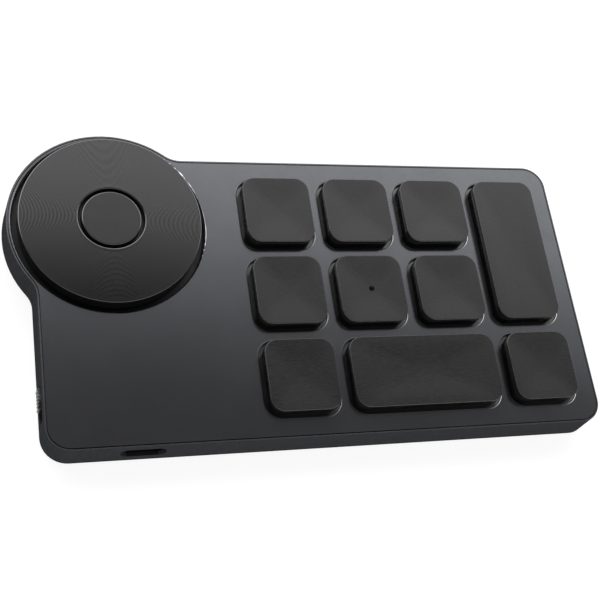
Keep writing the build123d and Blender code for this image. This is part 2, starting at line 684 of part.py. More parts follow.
def battery_leads():
    """Two short insulated wires from the cell's end to its plug."""
    z = Z_BOARD_TOP + (HEADER_WALL + HEADER_H) / 2
    x = (BATTERY_RIGHT + PLUG_LEFT) / 2
    leads = []
    for side in (-1, 1):
        place = Pos(x, HEADER_Y + side * LEAD_SPACING / 2, z) * Rot(0, 90, 0)
        leads.append(place * Cylinder(LEAD_R, PLUG_LEFT - BATTERY_RIGHT))
    return group(leads)


def port_slab(shrink, y_rear, length):
    """A slab of the port's rounded outline that runs forwards from y_rear."""
    outline = Plane.XZ * SlotOverall(PORT_WIDTH - 2 * shrink, PORT_HEIGHT - 2 * shrink)
    return Pos(PORT_X, y_rear, Z_PORT) * extrude(outline, length)


def usb_shell():
    """The charging socket's metal shell: a rounded tube, closed behind, with two fixing tabs."""
    shell = port_slab(0, PORT_REAR, PORT_DEPTH)
    for side in (-1, 1):
        x = PORT_X + side * (PORT_WIDTH - PORT_SHELL_T) / 2
        y = PORT_REAR - 2 * PORT_TAB_LENGTH
        shell += box_round(x, y, PORT_TAB_WIDTH, PORT_TAB_LENGTH, Z_BOARD_TOP, Z_PORT)
    return shell - port_slab(PORT_SHELL_T, PORT_REAR - PORT_SHELL_T, PORT_DEPTH)


def usb_tongue():
    """The contact tongue in the middle of the socket, on its root."""
    rear = PORT_REAR - PORT_SHELL_T
    half = TONGUE_WIDTH / 2
    tongue = box_between(PORT_X - half, PORT_X + half, PORT_FRONT + TONGUE_SETBACK, rear,
                         Z_PORT - TONGUE_T / 2, Z_PORT + TONGUE_T / 2)
    return tongue + port_slab(PORT_SHELL_T, rear, TONGUE_ROOT)


def power_switch():
    """The slide switch on the board, open at the side that faces the wall."""
    y_middle = SLIDER_Y - SLIDER_TRAVEL / 2
    run = SLIDER_TRAVEL / 2 + NUB_W / 2 + 2 * NUB_CLEAR
    z1 = Z_BOARD_TOP + SWITCH_H
    body = box_between(SWITCH_X, SWITCH_X + SWITCH_DEPTH, y_middle - SWITCH_LENGTH / 2,
                       y_middle + SWITCH_LENGTH / 2, Z_BOARD_TOP, z1)
    return body - box_between(SWITCH_X - CUT, SWITCH_X + SWITCH_POCKET, y_middle - run, y_middle + run,
                              Z_BOARD_TOP + SWITCH_FLOOR, z1 - SWITCH_ROOF)


def switch_nub():
    """The switch's sliding nub, in its rear place."""
    x1 = SWITCH_X + SWITCH_POCKET - NUB_CLEAR
    z0 = Z_BOARD_TOP + SWITCH_FLOOR + NUB_CLEAR
    z1 = Z_BOARD_TOP + SWITCH_H - SWITCH_ROOF - NUB_CLEAR
    return box_between(x1 - NUB_LENGTH, x1, SLIDER_Y - NUB_W / 2, SLIDER_Y + NUB_W / 2, z0, z1)


def slider_face_x():
    """Outer face of the knob: proud of the leaning wall at the knob's own height."""
    lean = WALL_DRAFT * (Z_SLIDER - Z_FLOOR) / WALL_HEIGHT
    return WALL_LEFT + lean - SLIDER_PROUD


def slider_knob():
    """The ribbed knob that stands in the wall's slot."""
    x_out = slider_face_x()
    x_in = WALL_LEFT + CAVITY_INSET + SLIDER_FLANGE_GAP + WELD
    z0 = Z_SLIDER - SLIDER_HEIGHT / 2
    z1 = Z_SLIDER + SLIDER_HEIGHT / 2
    y0 = SLIDER_Y - SLIDER_LENGTH / 2
    knob = box_between(x_out, x_in, y0, SLIDER_Y + SLIDER_LENGTH / 2, z0, z1)
    knob = chamfer(knob.faces().sort_by(Axis.X)[0].edges(), SLIDER_EDGE)
    step = (SLIDER_LENGTH - 2 * SLIDER_END_LAND) / SLIDER_RIBS
    for i in range(SLIDER_RIBS):
        y = y0 + SLIDER_END_LAND + step * (i + 0.5)
        groove = box_between(x_out - CUT, x_out + SLIDER_RIB_DEPTH, y - step / 4, y + step / 4, z0 - CUT,
                             z1 + CUT)
        knob -= groove
    return knob


def power_slider():
    """The knob, its retaining flange behind the wall and its fork round the switch's nub."""
    x0 = WALL_LEFT + CAVITY_INSET + SLIDER_FLANGE_GAP
    x1 = x0 + SLIDER_FLANGE_T
    half = SLIDER_LENGTH / 2 + SLIDER_FLANGE_LAP
    z_half = SLIDER_HEIGHT / 2
    flange = box_between(x0, x1, SLIDER_Y - half, SLIDER_Y + half, Z_SLIDER - z_half, Z_SLIDER + z_half)
    z0 = Z_BOARD_TOP + FORK_GAP
    half = NUB_W / 2
    fork = box_between(x0, SWITCH_X - FORK_GAP, SLIDER_Y - half - FORK_WALL, SLIDER_Y + half + FORK_WALL,
                       z0, Z_SLIDER)
    fork -= box_between(x1, SWITCH_X, SLIDER_Y - half, SLIDER_Y + half, z0 - CUT,
                        Z_BOARD_TOP + SWITCH_H - SWITCH_ROOF)
    return slider_knob() + flange + fork


# ---------------------------------------------------------------- keys
def guide_block(inset, low, high):
    """The rectangle that the key guide covers: every key's flange and a small border."""
    x0, y1 = grid(0, 0)
    x1, y0 = grid(COLUMNS - 1, ROWS - 1)
    half_x = KEY_WIDTH / 2 + GUIDE_MARGIN - inset
    half_y = KEY_DEPTH / 2 + GUIDE_MARGIN - inset
    return box_between(x0 - half_x, x1 + half_x, y0 - half_y, y1 + half_y, low, high)


def dome_mat():
    """The flat silicone sheet on the board, under the whole key guide."""
    mat = guide_block(0, Z_BOARD_TOP, Z_MAT_TOP)
    bosses = cover_boss_points() + board_boss_points()
    mat = drilled(mat, bosses, BOSS_R + BOSS_CLEAR, Z_BOARD_TOP, Z_MAT_TOP)
    return drilled(mat, guide_screw_points(), BOSS_R, Z_BOARD_TOP, Z_MAT_TOP)


def dome(x, y, low):
    """A hollow silicone dome: a cone frustum with a flat top."""
    cavity_h = DOME_H - 2 * DOME_WALL
    outer = Cone(DOME_BASE_R, DOME_TOP_R, DOME_H)
    cavity = Cone(DOME_BASE_R - DOME_WALL, DOME_TOP_R - DOME_WALL, cavity_h)
    return Pos(x, y, low + DOME_H / 2) * outer - Pos(x, y, low + cavity_h / 2) * cavity


def key_guide():
    """The moulded frame under the plate, with a sleeve for each key's plunger."""
    guide = guide_block(0, Z_MAT_TOP, Z_GUIDE_TOP) - guide_block(GUIDE_RIB_T, Z_MAT_TOP - CUT, Z_GUIDE)
    for x, y in guide_screw_points():
        guide += cylinder_at(x, y, BOSS_R - SCREW_CLEAR, Z_BOARD_TOP, Z_GUIDE + WELD)
    bore = PLUNGER_W + 2 * PLUNGER_FIT
    outer = bore + 2 * SLEEVE_WALL
    outer_r = PLUNGER_CORNER_R + SLEEVE_WALL
    for key in KEYS:
        x, y, width, depth = key_place(key)
        guide += rounded_block(x, y, outer, outer, outer_r, Z_GUIDE, Z_SLEEVE_TOP)
        guide -= rounded_block(x, y, bore, bore, PLUNGER_CORNER_R, Z_GUIDE - CUT, Z_SLEEVE_TOP + CUT)
    bosses = cover_boss_points() + board_boss_points()
    guide = drilled(guide, bosses, BOSS_R + BOSS_CLEAR, Z_MAT_TOP, Z_GUIDE_TOP)
    guide = drilled(guide, guide_screw_points(), SCREW_R, Z_BOARD_TOP, Z_GUIDE_TOP)
    for key in KEYS:
        if is_long(key):
            guide = with_wire_clips(guide, key)
    return guide


def with_wire_clips(guide, key):
    """Adds the two snap clips that hold a long key's wire, and the pockets below the key's lugs."""
    place, arm_x = long_key_place(key)
    bar_y = -WIRE_BAR_OFFSET
    hole_r = WIRE_R + WIRE_FIT
    half = hole_r + CLIP_WALL
    for side in (-1, 1):
        x = side * (arm_x - CLIP_FROM_ARM)
        clip = box_round(x, bar_y, CLIP_WIDTH, 2 * half, Z_GUIDE_TOP - WELD, Z_WIRE_BAR + half)
        clip -= Pos(x, bar_y, Z_WIRE_BAR) * Rot(0, 90, 0) * Cylinder(hole_r, CLIP_WIDTH + 2 * CUT)
        clip -= box_round(x, bar_y, CLIP_WIDTH + 2 * CUT, CLIP_MOUTH, Z_WIRE_BAR, Z_WIRE_BAR + half + CUT)
        guide += place * clip
        pocket = box_round(side * (arm_x + LUG_FROM_ARM), bar_y + WIRE_ARM, LUG_T + 2 * LUG_CLEAR,
                           LUG_WIDTH + 2 * LUG_CLEAR, Z_GUIDE - CUT, Z_GUIDE_TOP + CUT)
        guide -= place * pocket
    return guide


def stabiliser_wire(key):
    """A bent spring wire that makes both ends of a long key go down together."""
    place, arm_x = long_key_place(key)
    end = arm_x + WIRE_END_GAP + LUG_T + WIRE_END_PROUD
    left_half = [(-end, WIRE_ARM), (-arm_x, WIRE_ARM), (-arm_x, 0)]
    right_half = [(-x, y) for x, y in reversed(left_half)]
    path = FilletPolyline(*left_half, *right_half, radius=WIRE_BEND_R)
    wire = sweep(Plane(origin=path @ 0, z_dir=path % 0) * Circle(WIRE_R), path=path)
    return place * Pos(0, -WIRE_BAR_OFFSET, Z_WIRE_BAR) * Rot(WIRE_SLOPE, 0, 0) * wire


def wire_lugs(key):
    """Slotted lugs that hang from a long key's roof and hold the wire's ends."""
    place, arm_x = long_key_place(key)
    tip_y = WIRE_ARM - WIRE_BAR_OFFSET
    half = WIRE_R + WIRE_FIT
    lugs = Part()
    for side in (-1, 1):
        x = side * (arm_x + LUG_FROM_ARM)
        lug = box_round(x, tip_y, LUG_T, LUG_WIDTH, Z_WIRE_TIP - half - LUG_FLOOR, Z_KEY_ROOF + WELD)
        lugs += lug - box_round(x, tip_y, LUG_T + 2 * CUT, LUG_SLOT, Z_WIRE_TIP - half, Z_WIRE_TIP + half)
    return place * lugs


def homing_nub(x, y):
    """The low round nub on the middle key."""
    ball_r = (HOMING_NUB_R ** 2 + HOMING_NUB_RISE ** 2) / (2 * HOMING_NUB_RISE)
    ball = Pos(x, y, Z_TOP + HOMING_NUB_RISE - ball_r) * Sphere(ball_r)
    return ball & box_round(x, y, 4 * HOMING_NUB_R, 4 * HOMING_NUB_R, Z_TOP - WELD, Z_TOP + CUT)


def keycap(key):
    """A hollow cap with a flange under the plate and a square plunger in the middle."""
    x, y, width, depth = key_place(key)
    cap = key_block(key, 0, Z_FLANGE, Z_TOP)
    cap = fillet(cap.faces().sort_by(Axis.Z)[-1].edges(), KEY_EDGE_R)
    cap += key_block(key, FLANGE_MARGIN, Z_FLANGE, Z_FLANGE_TOP)
    cap -= key_block(key, -KEY_WALL_T, Z_FLANGE - CUT, Z_KEY_ROOF)
    cap += rounded_block(x, y, PLUNGER_W, PLUNGER_W, PLUNGER_CORNER_R, Z_DOME_TOP, Z_KEY_ROOF + WELD)
    if is_long(key):
        cap += wire_lugs(key)
    if key[0] == HOMING_KEY:
        cap += homing_nub(x, y)
    return cap


# ---------------------------------------------------------------- dial
def dial_well():
    """The floor of the well, on its seat in the side frame."""
    return dial_tube(WELL_R - WELL_FLOOR_FIT, WELL_HOLE_R, Z_WELL_SEAT, Z_WELL)


def dial_post():
    """The fixed tube on the board: a flange with ears, a lip at the top and a ring groove."""
    post = dial_disc(WASHER_R, Z_BOARD_TOP, Z_POST_FLANGE)
    z_middle = (Z_BOARD_TOP + Z_POST_FLANGE) / 2
    for degrees in ear_directions():
        x, y = round_dial(EAR_CIRCLE_R, degrees)
        post += cylinder_at(x, y, BOSS_R, Z_BOARD_TOP, Z_POST_FLANGE)
        x, y = round_dial(EAR_CIRCLE_R / 2, degrees)
        post += Pos(x, y, z_middle) * Rot(0, 0, degrees) * Box(EAR_CIRCLE_R, 2 * BOSS_R, POST_FLANGE_T)
    post += dial_disc(POST_R, Z_BOARD_TOP, Z_POST_TOP)
    post -= dial_disc(POST_BORE_R, Z_BOARD_TOP - CUT, Z_POST_TOP - POST_LIP_T)
    post -= dial_disc(BUTTON_R + BUTTON_FIT, Z_BOARD_TOP - CUT, Z_POST_TOP + CUT)
    post -= dial_tube(POST_R + CUT, POST_R - RING_GROOVE_DEPTH, Z_RING - RING_FIT, Z_RING_TOP + RING_FIT)
    return drilled(post, ear_points(), SCREW_R + SCREW_CLEAR, Z_BOARD_TOP, Z_POST_FLANGE)


def post_screws():
    """Screws that come down through the post's ears into the board."""
    upright = screw(0, 0, 0, BOARD_T + POST_FLANGE_T)
    return group([Pos(x, y, Z_POST_FLANGE) * Rot(180, 0, 0) * upright for x, y in ear_points()])


def glide_washer():
    return dial_tube(WASHER_R, BUSH_BORE_R, Z_POST_FLANGE, Z_HUB)


def dial_bush():
    """The plain bearing inside the hub."""
    return dial_tube(BUSH_R, BUSH_BORE_R, Z_HUB, Z_BUSH_TOP)


def dial_hub():
    """The turning carrier: a tube on the bush and a disc that the dial is bonded to."""
    hub = dial_disc(HUB_R, Z_HUB, Z_HUB_DISC) + dial_disc(HUB_DISC_R, Z_HUB_DISC, Z_DIAL_ROOF)
    hub -= dial_disc(HUB_BORE_R, Z_HUB - CUT, Z_BUSH_TOP)
    return hub - dial_disc(HUB_BORE_R + HUB_POCKET_GAP, Z_BUSH_TOP, Z_DIAL_ROOF + CUT)


def magnet_ring():
    return dial_tube(MAGNET_R, HUB_R, Z_HUB, Z_HUB + MAGNET_H)


def retaining_ring():
    """The open spring ring in the post's groove that holds the hub down."""
    ring = dial_tube(POST_R + RING_LAP, POST_R - RING_GROOVE_DEPTH + SHAFT_FIT, Z_RING, Z_RING_TOP)
    half = RING_MOUTH / 2
    return ring - box_between(DIAL_X - half, DIAL_X + half, DIAL_Y, DIAL_Y + POST_R + RING_LAP + CUT,
                              Z_RING - CUT, Z_RING_TOP + CUT)


def dial_cap():
    """The turned metal cap, hollow below, with a hole for the centre button."""
    cap = dial_disc(DIAL_R, Z_DIAL, Z_TOP)
    cap = chamfer(cap.faces().sort_by(Axis.Z)[-1].edges(), DIAL_EDGE)
    cap -= dial_disc(DIAL_R - DIAL_WALL_T, Z_DIAL - CUT, Z_DIAL_ROOF)
    cap -= dial_disc(DIAL_BORE_R, Z_DIAL, Z_TOP + CUT)
    bore_rim = cap.faces().sort_by(Axis.Z)[-1].inner_wires()[0]
    return chamfer(bore_rim.edges(), DIAL_BORE_EDGE)


def centre_button():
    """The button in the dial's centre: a cap, a skirt with a collar and a stem on the dome."""
    button = dial_disc(BUTTON_R, Z_COLLAR, Z_TOP)
    button = chamfer(button.faces().sort_by(Axis.Z)[-1].edges(), BUTTON_EDGE)
    button += dial_disc(COLLAR_R, Z_COLLAR, Z_COLLAR_TOP)
    button -= dial_disc(BUTTON_R - BUTTON_WALL_T, Z_COLLAR - CUT, Z_BUTTON_ROOF)
    return button + dial_disc(BUTTON_STEM_R, Z_BUTTON_DOME_TOP, Z_BUTTON_ROOF + WELD)


def button_dome():
    return dome(DIAL_X, DIAL_Y, Z_BOARD_TOP)


# ---------------------------------------------------------------- all pieces
def all_parts():
    """Every node's name and shape."""
    makers = [side_frame, top_plate, plate_tape, bottom_cover, rubber_feet, cover_screws, main_board,
              board_screws, guide_screws, board_chips, dial_sensors, shield_can, battery_cell, battery_tape,
              battery_header, battery_plug, battery_leads, usb_shell, usb_tongue, power_switch, switch_nub,
              power_slider, dome_mat, key_guide, dial_well, dial_post, post_screws, glide_washer,
              retaining_ring, dial_bush, dial_hub, magnet_ring, dial_cap, centre_button, button_dome]
    parts = {maker.__name__: maker() for maker in makers}
    for key in KEYS:
        x, y, width, depth = key_place(key)
        parts[key[0]] = keycap(key)
        parts[key[0] + "_dome"] = dome(x, y, Z_MAT_TOP)
        if is_long(key):
            parts[key[0] + "_wire"] = stabiliser_wire(key)
    return parts


os.makedirs("parts", exist_ok=True)
for node, shape in all_parts().items():
    export_step(shape, f"parts/{node}.step")
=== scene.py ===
"""Looks for a low desk keypad: ten keys, an endless dial with a centre button, a power slider and
a charging port.

The casing, the inner works and the fasteners are the frame's own nodes with finished materials.
What a user sees and touches close up is made here as finer surfaces: the key caps, the turned
dial, its button, the ribbed slider and the port's contacts, and so are the domes under the keys.
Every new surface is a grid of points: rings of a closed outline at changing offset and height, or
a profile turned about an axis. Lengths are metres.
"""

import json
import math

import bpy
import numpy as np
from mathutils import Matrix, Vector


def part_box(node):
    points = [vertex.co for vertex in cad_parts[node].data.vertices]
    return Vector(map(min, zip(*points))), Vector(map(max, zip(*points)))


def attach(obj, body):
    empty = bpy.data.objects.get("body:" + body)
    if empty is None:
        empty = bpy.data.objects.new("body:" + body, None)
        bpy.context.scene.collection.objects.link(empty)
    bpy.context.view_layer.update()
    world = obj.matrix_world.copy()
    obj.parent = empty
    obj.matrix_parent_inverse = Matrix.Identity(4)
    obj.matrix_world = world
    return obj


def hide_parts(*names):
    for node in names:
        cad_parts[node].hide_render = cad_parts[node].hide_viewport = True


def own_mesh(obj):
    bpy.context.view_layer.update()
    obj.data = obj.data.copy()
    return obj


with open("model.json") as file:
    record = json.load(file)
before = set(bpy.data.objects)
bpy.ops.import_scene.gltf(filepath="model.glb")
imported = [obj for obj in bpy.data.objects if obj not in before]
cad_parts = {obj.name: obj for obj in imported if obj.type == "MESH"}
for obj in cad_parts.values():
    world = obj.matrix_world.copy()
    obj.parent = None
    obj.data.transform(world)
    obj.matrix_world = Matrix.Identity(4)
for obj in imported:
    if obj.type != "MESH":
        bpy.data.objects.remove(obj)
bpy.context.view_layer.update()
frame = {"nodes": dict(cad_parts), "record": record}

MM = 0.001

# ---------------------------------------------------------------- places taken from the frame
PLATE_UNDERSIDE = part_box("top_plate")[0].z
KEY_NAMES = [
    name
    for name in frame["nodes"]
    if name.startswith("key_") and name != "key_guide" and not name.endswith(("_dome", "_wire"))
]
LONG_KEYS = [name for name in KEY_NAMES if name + "_wire" in frame["nodes"]]
HOMING_KEY = "key_middle_2"
KEY_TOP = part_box("key_back_1")[1].z


def middle(node):
    """Middle of a node's box."""
    low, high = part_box(node)
    return (low + high) / 2


DIAL_AXIS = middle("dial_cap")

# ---------------------------------------------------------------- sizes of the finer surfaces
WELD = 0.1 * MM                 # how far two surfaces of one piece reach into each other
KEY_FLANGE = 1.15 * MM          # flange beyond the key's wall
KEY_FLANGE_T = 0.75 * MM
KEY_FLANGE_GAP = 0.05 * MM      # from the flange's top to the plate's underside
KEY_CORNER_R = 3.0 * MM
KEY_EDGE_R = 0.16 * MM
KEY_EDGE_POINTS = 9             # points of a key's rounded edge, from its side to its top
KEY_EDGE_HIGHLIGHTED_POINTS = 8             # how many of them carry the paler edge finish, a painted highlight line
KEY_FOOT_LAND = 0.4 * MM        # first ring of a key's side above its flange
KEY_BROW = (KEY_EDGE_R + 0.05 * MM, 0.6 * MM, 1.3 * MM)     # a top's first rings, from its side
KEY_DISH = 0.17 * MM            # how far the middle of a key's top lies below its edge
KEY_WALL_T = 1.2 * MM
KEY_ROOF_T = 1.2 * MM
PLUNGER_HALF = 2.85 * MM
PLUNGER_CORNER_R = 0.6 * MM
PLUNGER_CORNER_POINTS = 6
NUB_R = 0.62 * MM
NUB_RISE = 0.5 * MM             # above the dished top
NUB_SINK = 1.15                 # how far the ball goes on below the top, as a share of its reach
NUB_TIP = 0.1                   # where its last ring lies, as a share of its reach
NUB_RINGS = 10
LUG_HALF_T = 0.75 * MM
LUG_HALF_WIDTH = 1.4 * MM
LUG_SLOT_HALF = 0.75 * MM
LUG_SLOT_HEIGHT = 1.0 * MM
LUG_FLOOR = 0.75 * MM
LUG_FROM_END = 0.3 * MM + LUG_HALF_T      # lug's middle from the wire's end
WIRE_R = 0.45 * MM
PAINTED_SHADE_FOOT = (2.2 * MM, 2.4 * MM)          # heights between which the painted shade at the case wall's foot ends
DOME_TOP_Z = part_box("key_back_1_dome")[1].z
DOME_BASE_R = 2.7 * MM
DOME_TOP_R = 1.7 * MM
DOME_WALL = 0.45 * MM
DOME_SHOULDER_R = 0.25 * MM
DOME_SHOULDER_START = 20        # degrees from level, where the shoulder leaves the skirt
DOME_SHOULDER_POINTS = 5
DOME_TOP_SHARE = 0.4            # last ring of a dome's flat top, as a share of its radius

DIAL_WALL_T = 1.4 * MM
DIAL_ROOF_T = 1.2 * MM
DIAL_BORE_R = 6.95 * MM
DIAL_CROWN = 0.16 * MM          # how far the face's rim lies below its bore
CHAMFER_WIDTH = 0.17 * MM       # cut edges of the dial and its button, seen from above
CHAMFER_DROP = 0.10 * MM
CHAMFER_TURNS = ((0.04 * MM, -0.045 * MM), (0.05 * MM, -0.0425 * MM))     # places on its slope
CHAMFER = np.array([(0, -CHAMFER_DROP), *CHAMFER_TURNS, (CHAMFER_WIDTH, 0)])
RING_PITCH = 0.27 * MM          # turned rings on the dial's face
RING_DEPTH = 0.003 * MM
RING_LAND = 0.2 * MM            # plain land beside each chamfer
RING_STEPS = 6                  # points along each ring's profile
BUTTON_R = 6.1 * MM
BUTTON_WALL_T = 1.1 * MM
BUTTON_ROOF_T = 1.5 * MM
BUTTON_COLLAR_R = 6.52 * MM
BUTTON_COLLAR_H = 0.95 * MM
BUTTON_STEM_R = 1.8 * MM
BUTTON_STEM_END_SHARE = 0.5     # inner ring of the stem's end, as a share of its radius
BUTTON_FACE_RINGS = 12
BUTTON_FACE_SHARE = 0.05        # last ring of the face, as a share of the button's radius

SLIDER_HALF_LENGTH = 2.2 * MM
SLIDER_HALF_HEIGHT = 1.5 * MM
SLIDER_RIBS = 5
SLIDER_RIB_POINTS = 10          # points along each rib
SLIDER_RIB_DEPTH = 0.35 * MM
SLIDER_END_LAND = 0.4 * MM      # plain strip at each end of the ribs
SLIDER_END_ROUND = 0.25 * MM
SLIDER_END_POINTS = 5
SLIDER_FLANGE_FROM_FACE = 2.49 * MM
SLIDER_FLANGE_T = 0.6 * MM
PRONG_FROM_MIDDLE = 0.65 * MM
PRONG_WIDTH = 0.8 * MM
PRONG_H = 0.8 * MM
BLOCK_ROUNDING = (0.15 * MM, 0.1 * MM)          # corner and edge radius of the flange and prongs
PORT_HALF_HEIGHT = 1.58 * MM
TONGUE_HALF_T = 0.35 * MM
CONTACTS = 12
CONTACT_PITCH = 0.5 * MM
CONTACT_WIDTH = 0.28 * MM
CONTACT_LENGTH = 3.2 * MM
CONTACT_SETBACK = 0.5 * MM
CONTACT_HALF_T = 0.02 * MM
CONTACT_ROUNDING = (0.08 * MM, 0.015 * MM)

AROUND_DIAL = 320               # points round the dial
AROUND_BUTTON = AROUND_DIAL // 2
AROUND_SMALL = 48               # points round a dome and the nub
AROUND_CORNER = 14              # points round a key's corner
BLOCK_CORNER_POINTS = 5
BLOCK_EDGE_POINTS = 4
CROWN_SHARES = np.linspace(0.92, 0.08, 11)      # rings of a key's top, as shares of the way out
ROOF_SHARES = (0.45, 0.7, 0.85)                 # the same below a key's roof
CRISP_FROM = 40                 # degrees: edges that turn by more stay crisp

# ---------------------------------------------------------------- light
# Heights are sines: 0 at the horizon and 1 overhead. Distances are parts of a unit direction.
SKY_TOP = 0.22
SKY_HORIZON = 1.0
SKY_FALL = 3.0                  # power by which the sky darkens upwards
HORIZON_BAND = 0.16             # height up to which the surroundings stay white
PANEL_LEVEL = 2.5               # the large lit panel behind the object
PANEL_SLOPE = (0, -1, 1)        # the panel fades out upwards along this direction
PANEL_FADE = (0.60, 0.28)
PANEL_FOOT = (0.30, 0.50)       # heights between which the panel's lower edge fades in
PANEL_BACK = (0.0, 0.20)        # distances to the back between which it fades in
PANEL_HALF_WIDTH = (0.85, 0.55)
LEFT_LEVEL = 0.35               # share of the sky's level on the left
LEFT_FADE = (-0.9, -0.2)        # distances to the side between which it comes back to full
FILL_LEVEL = 0.55               # a weaker light over the front
FILL_FRONT = (0.0, -0.35)       # distances to the back between which the weaker light fades in
FILL_TOP = (0.85, 0.60)         # heights between which it fades in downwards
FLOOR_SEEN = 0.30               # how much of the floor's white comes from the light on it
FLOOR_GLOW = 0.85               # and how much the floor gives by itself
FLOOR_LIT = (0.8, 0.8, 0.8, 1)  # the floor's colour where it only passes light on
FLOOR_ROUGHNESS = 0.9
FLOOR_HALF = 3.0
WHITE = (1, 1, 1, 1)


# ---------------------------------------------------------------- surfaces
def skin(rings, number, closed_profile=False, first_pole=None, last_pole=None):
    """A surface through rings of points, given as an array of ring by point by xyz.

    Point j of ring i is joined to point j + 1 and to ring i + 1 by a four-sided face, and a ring's
    last point to its first. A closed profile joins the last ring to the first. A pole closes an
    end with a fan of triangles. Gives the points, the quads, the triangles and a material number.
    """
    count, around = rings.shape[:2]
    index = np.arange(count * around).reshape(count, around)
    following = np.roll(index, -1, axis=1)
    steps = np.arange(count if closed_profile else count - 1)
    above = (steps + 1) % count
    quads = np.stack([index[steps], following[steps], following[above], index[above]], axis=-1)
    points = [rings.reshape(-1, 3)]
    fans = [np.empty((0, 3), int)]
    total = count * around
    if first_pole is not None:
        points.append(np.array([first_pole]))
        fans.append(np.stack([following[0], index[0], np.full(around, total)], axis=-1))
        total += 1
    if last_pole is not None:
        points.append(np.array([last_pole]))
        fans.append(np.stack([index[-1], following[-1], np.full(around, total)], axis=-1))
    return np.concatenate(points), quads.reshape(-1, 4), np.concatenate(fans), number


def piece(name, surfaces, body, materials, replaces=()):
    """One finished piece from several surfaces, all put into its mesh as whole arrays."""
    sizes = [len(points) for points, _, _, _ in surfaces]
    starts = np.cumsum([0] + sizes[:-1])
    points = np.concatenate([surface[0] for surface in surfaces])
    quads = np.concatenate([surface[1] + start for surface, start in zip(surfaces, starts)])
    fans = np.concatenate([surface[2] + start for surface, start in zip(surfaces, starts)])
    corners = np.concatenate([quads.ravel(), fans.ravel()])
    loop_starts = np.concatenate([np.arange(len(quads)) * 4, quads.size + np.arange(len(fans)) * 3])
    quad_numbers = [np.full(len(surface[1]), surface[3]) for surface in surfaces]
    fan_numbers = [np.full(len(surface[2]), surface[3]) for surface in surfaces]
    mesh = bpy.data.meshes.new(name)
    mesh.vertices.add(len(points))
    mesh.vertices.foreach_set("co", points.ravel())
    mesh.loops.add(len(corners))
    mesh.loops.foreach_set("vertex_index", corners)
    mesh.polygons.add(len(loop_starts))
    mesh.polygons.foreach_set("loop_start", loop_starts)
    mesh.polygons.foreach_set("material_index", np.concatenate(quad_numbers + fan_numbers))
    for material in materials:
        mesh.materials.append(material)
    mesh.update(calc_edges=True)
    mesh.validate()
    mesh.shade_smooth()
    mesh.set_sharp_from_angle(angle=math.radians(CRISP_FROM))
    made = bpy.data.objects.new(name, mesh)
    bpy.context.scene.collection.objects.link(made)
    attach(made, body)
    if replaces:
        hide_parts(*replaces)
    return made


def rounded_outline(centre, half_x, half_y, r, per_corner=AROUND_CORNER):
    """Points and outward normals round a rectangle with round corners, anticlockwise.

    Each corner is a quarter circle, its centre plus r times (cos, sin) of an angle that runs
    through 90 degrees. The straight sides are the steps between one corner and the next.
    """
    turn = np.linspace(0, math.pi / 2, per_corner)
    angle = (np.arange(4)[:, None] * math.pi / 2 + turn).ravel()
    normal = np.stack([np.cos(angle), np.sin(angle)], axis=-1)
    side = np.repeat(np.array([[1, 1], [-1, 1], [-1, -1], [1, -1]]), per_corner, axis=0)
    core = np.array([centre.x, centre.y]) + side * np.array([half_x - r, half_y - r])
    return core + r * normal, normal


def lifted(flat, heights):
    """Rings of flat points, each at its own height or all at one."""
    z = np.broadcast_to(np.reshape(heights, (-1, 1, 1)), flat.shape[:2] + (1,))
    return np.concatenate([flat, z], axis=-1)


def swept_rings(outline, normal, profile):
    """Rings of an outline: each profile row is an outward offset along the normal and a height."""
    flat = outline[None, :, :] + profile[:, 0, None, None] * normal[None, :, :]
    return lifted(flat, profile[:, 1])


def turned_rings(profile, axis, around):
    """Rings of a profile turned about an upright axis: x and y are its radius times cos and sin."""
    angle = np.linspace(0, 2 * math.pi, around, endpoint=False)
    x = axis.x + profile[:, 0, None] * np.cos(angle)
    y = axis.y + profile[:, 0, None] * np.sin(angle)
    z = np.broadcast_to(profile[:, 1, None], x.shape)
    return np.stack([x, y, z], axis=-1)


def quarter(r, start, end, steps):
    """Points of an arc of radius r about the origin, from one angle to another in degrees."""
    angle = np.radians(np.linspace(start, end, steps))
    return r * np.stack([np.cos(angle), np.sin(angle)], axis=-1)


def closing_rings(ring, centre, height, shares):
    """Rings that shrink towards a centre, at one height: centre plus a share of the way out."""
    share = np.array(shares)[:, None, None]
    return lifted(centre + share * (ring[None, :, :2] - centre), height)


def on_axis(centre, height):
    """A point at a height on the upright line through a centre."""
    return (centre.x, centre.y, height)


def soft_block(low, high, corner_r, edge_r):
    """A block with round corners and edges: an outline carried up a profile with a quarter circle
    at its foot and another at its head."""
    low, high = Vector(low), Vector(high)
    centre = (low + high) / 2
    half = (high - low) / 2
    outline, normal = rounded_outline(centre, half.x, half.y, corner_r, BLOCK_CORNER_POINTS)
    foot = quarter(edge_r, -90, 0, BLOCK_EDGE_POINTS) + np.array([-edge_r, low.z + edge_r])
    head = quarter(edge_r, 0, 90, BLOCK_EDGE_POINTS) + np.array([-edge_r, high.z - edge_r])
    rings = swept_rings(outline, normal, np.concatenate([foot, head]))
    return skin(rings, 0, first_pole=on_axis(centre, low.z), last_pole=on_axis(centre, high.z))


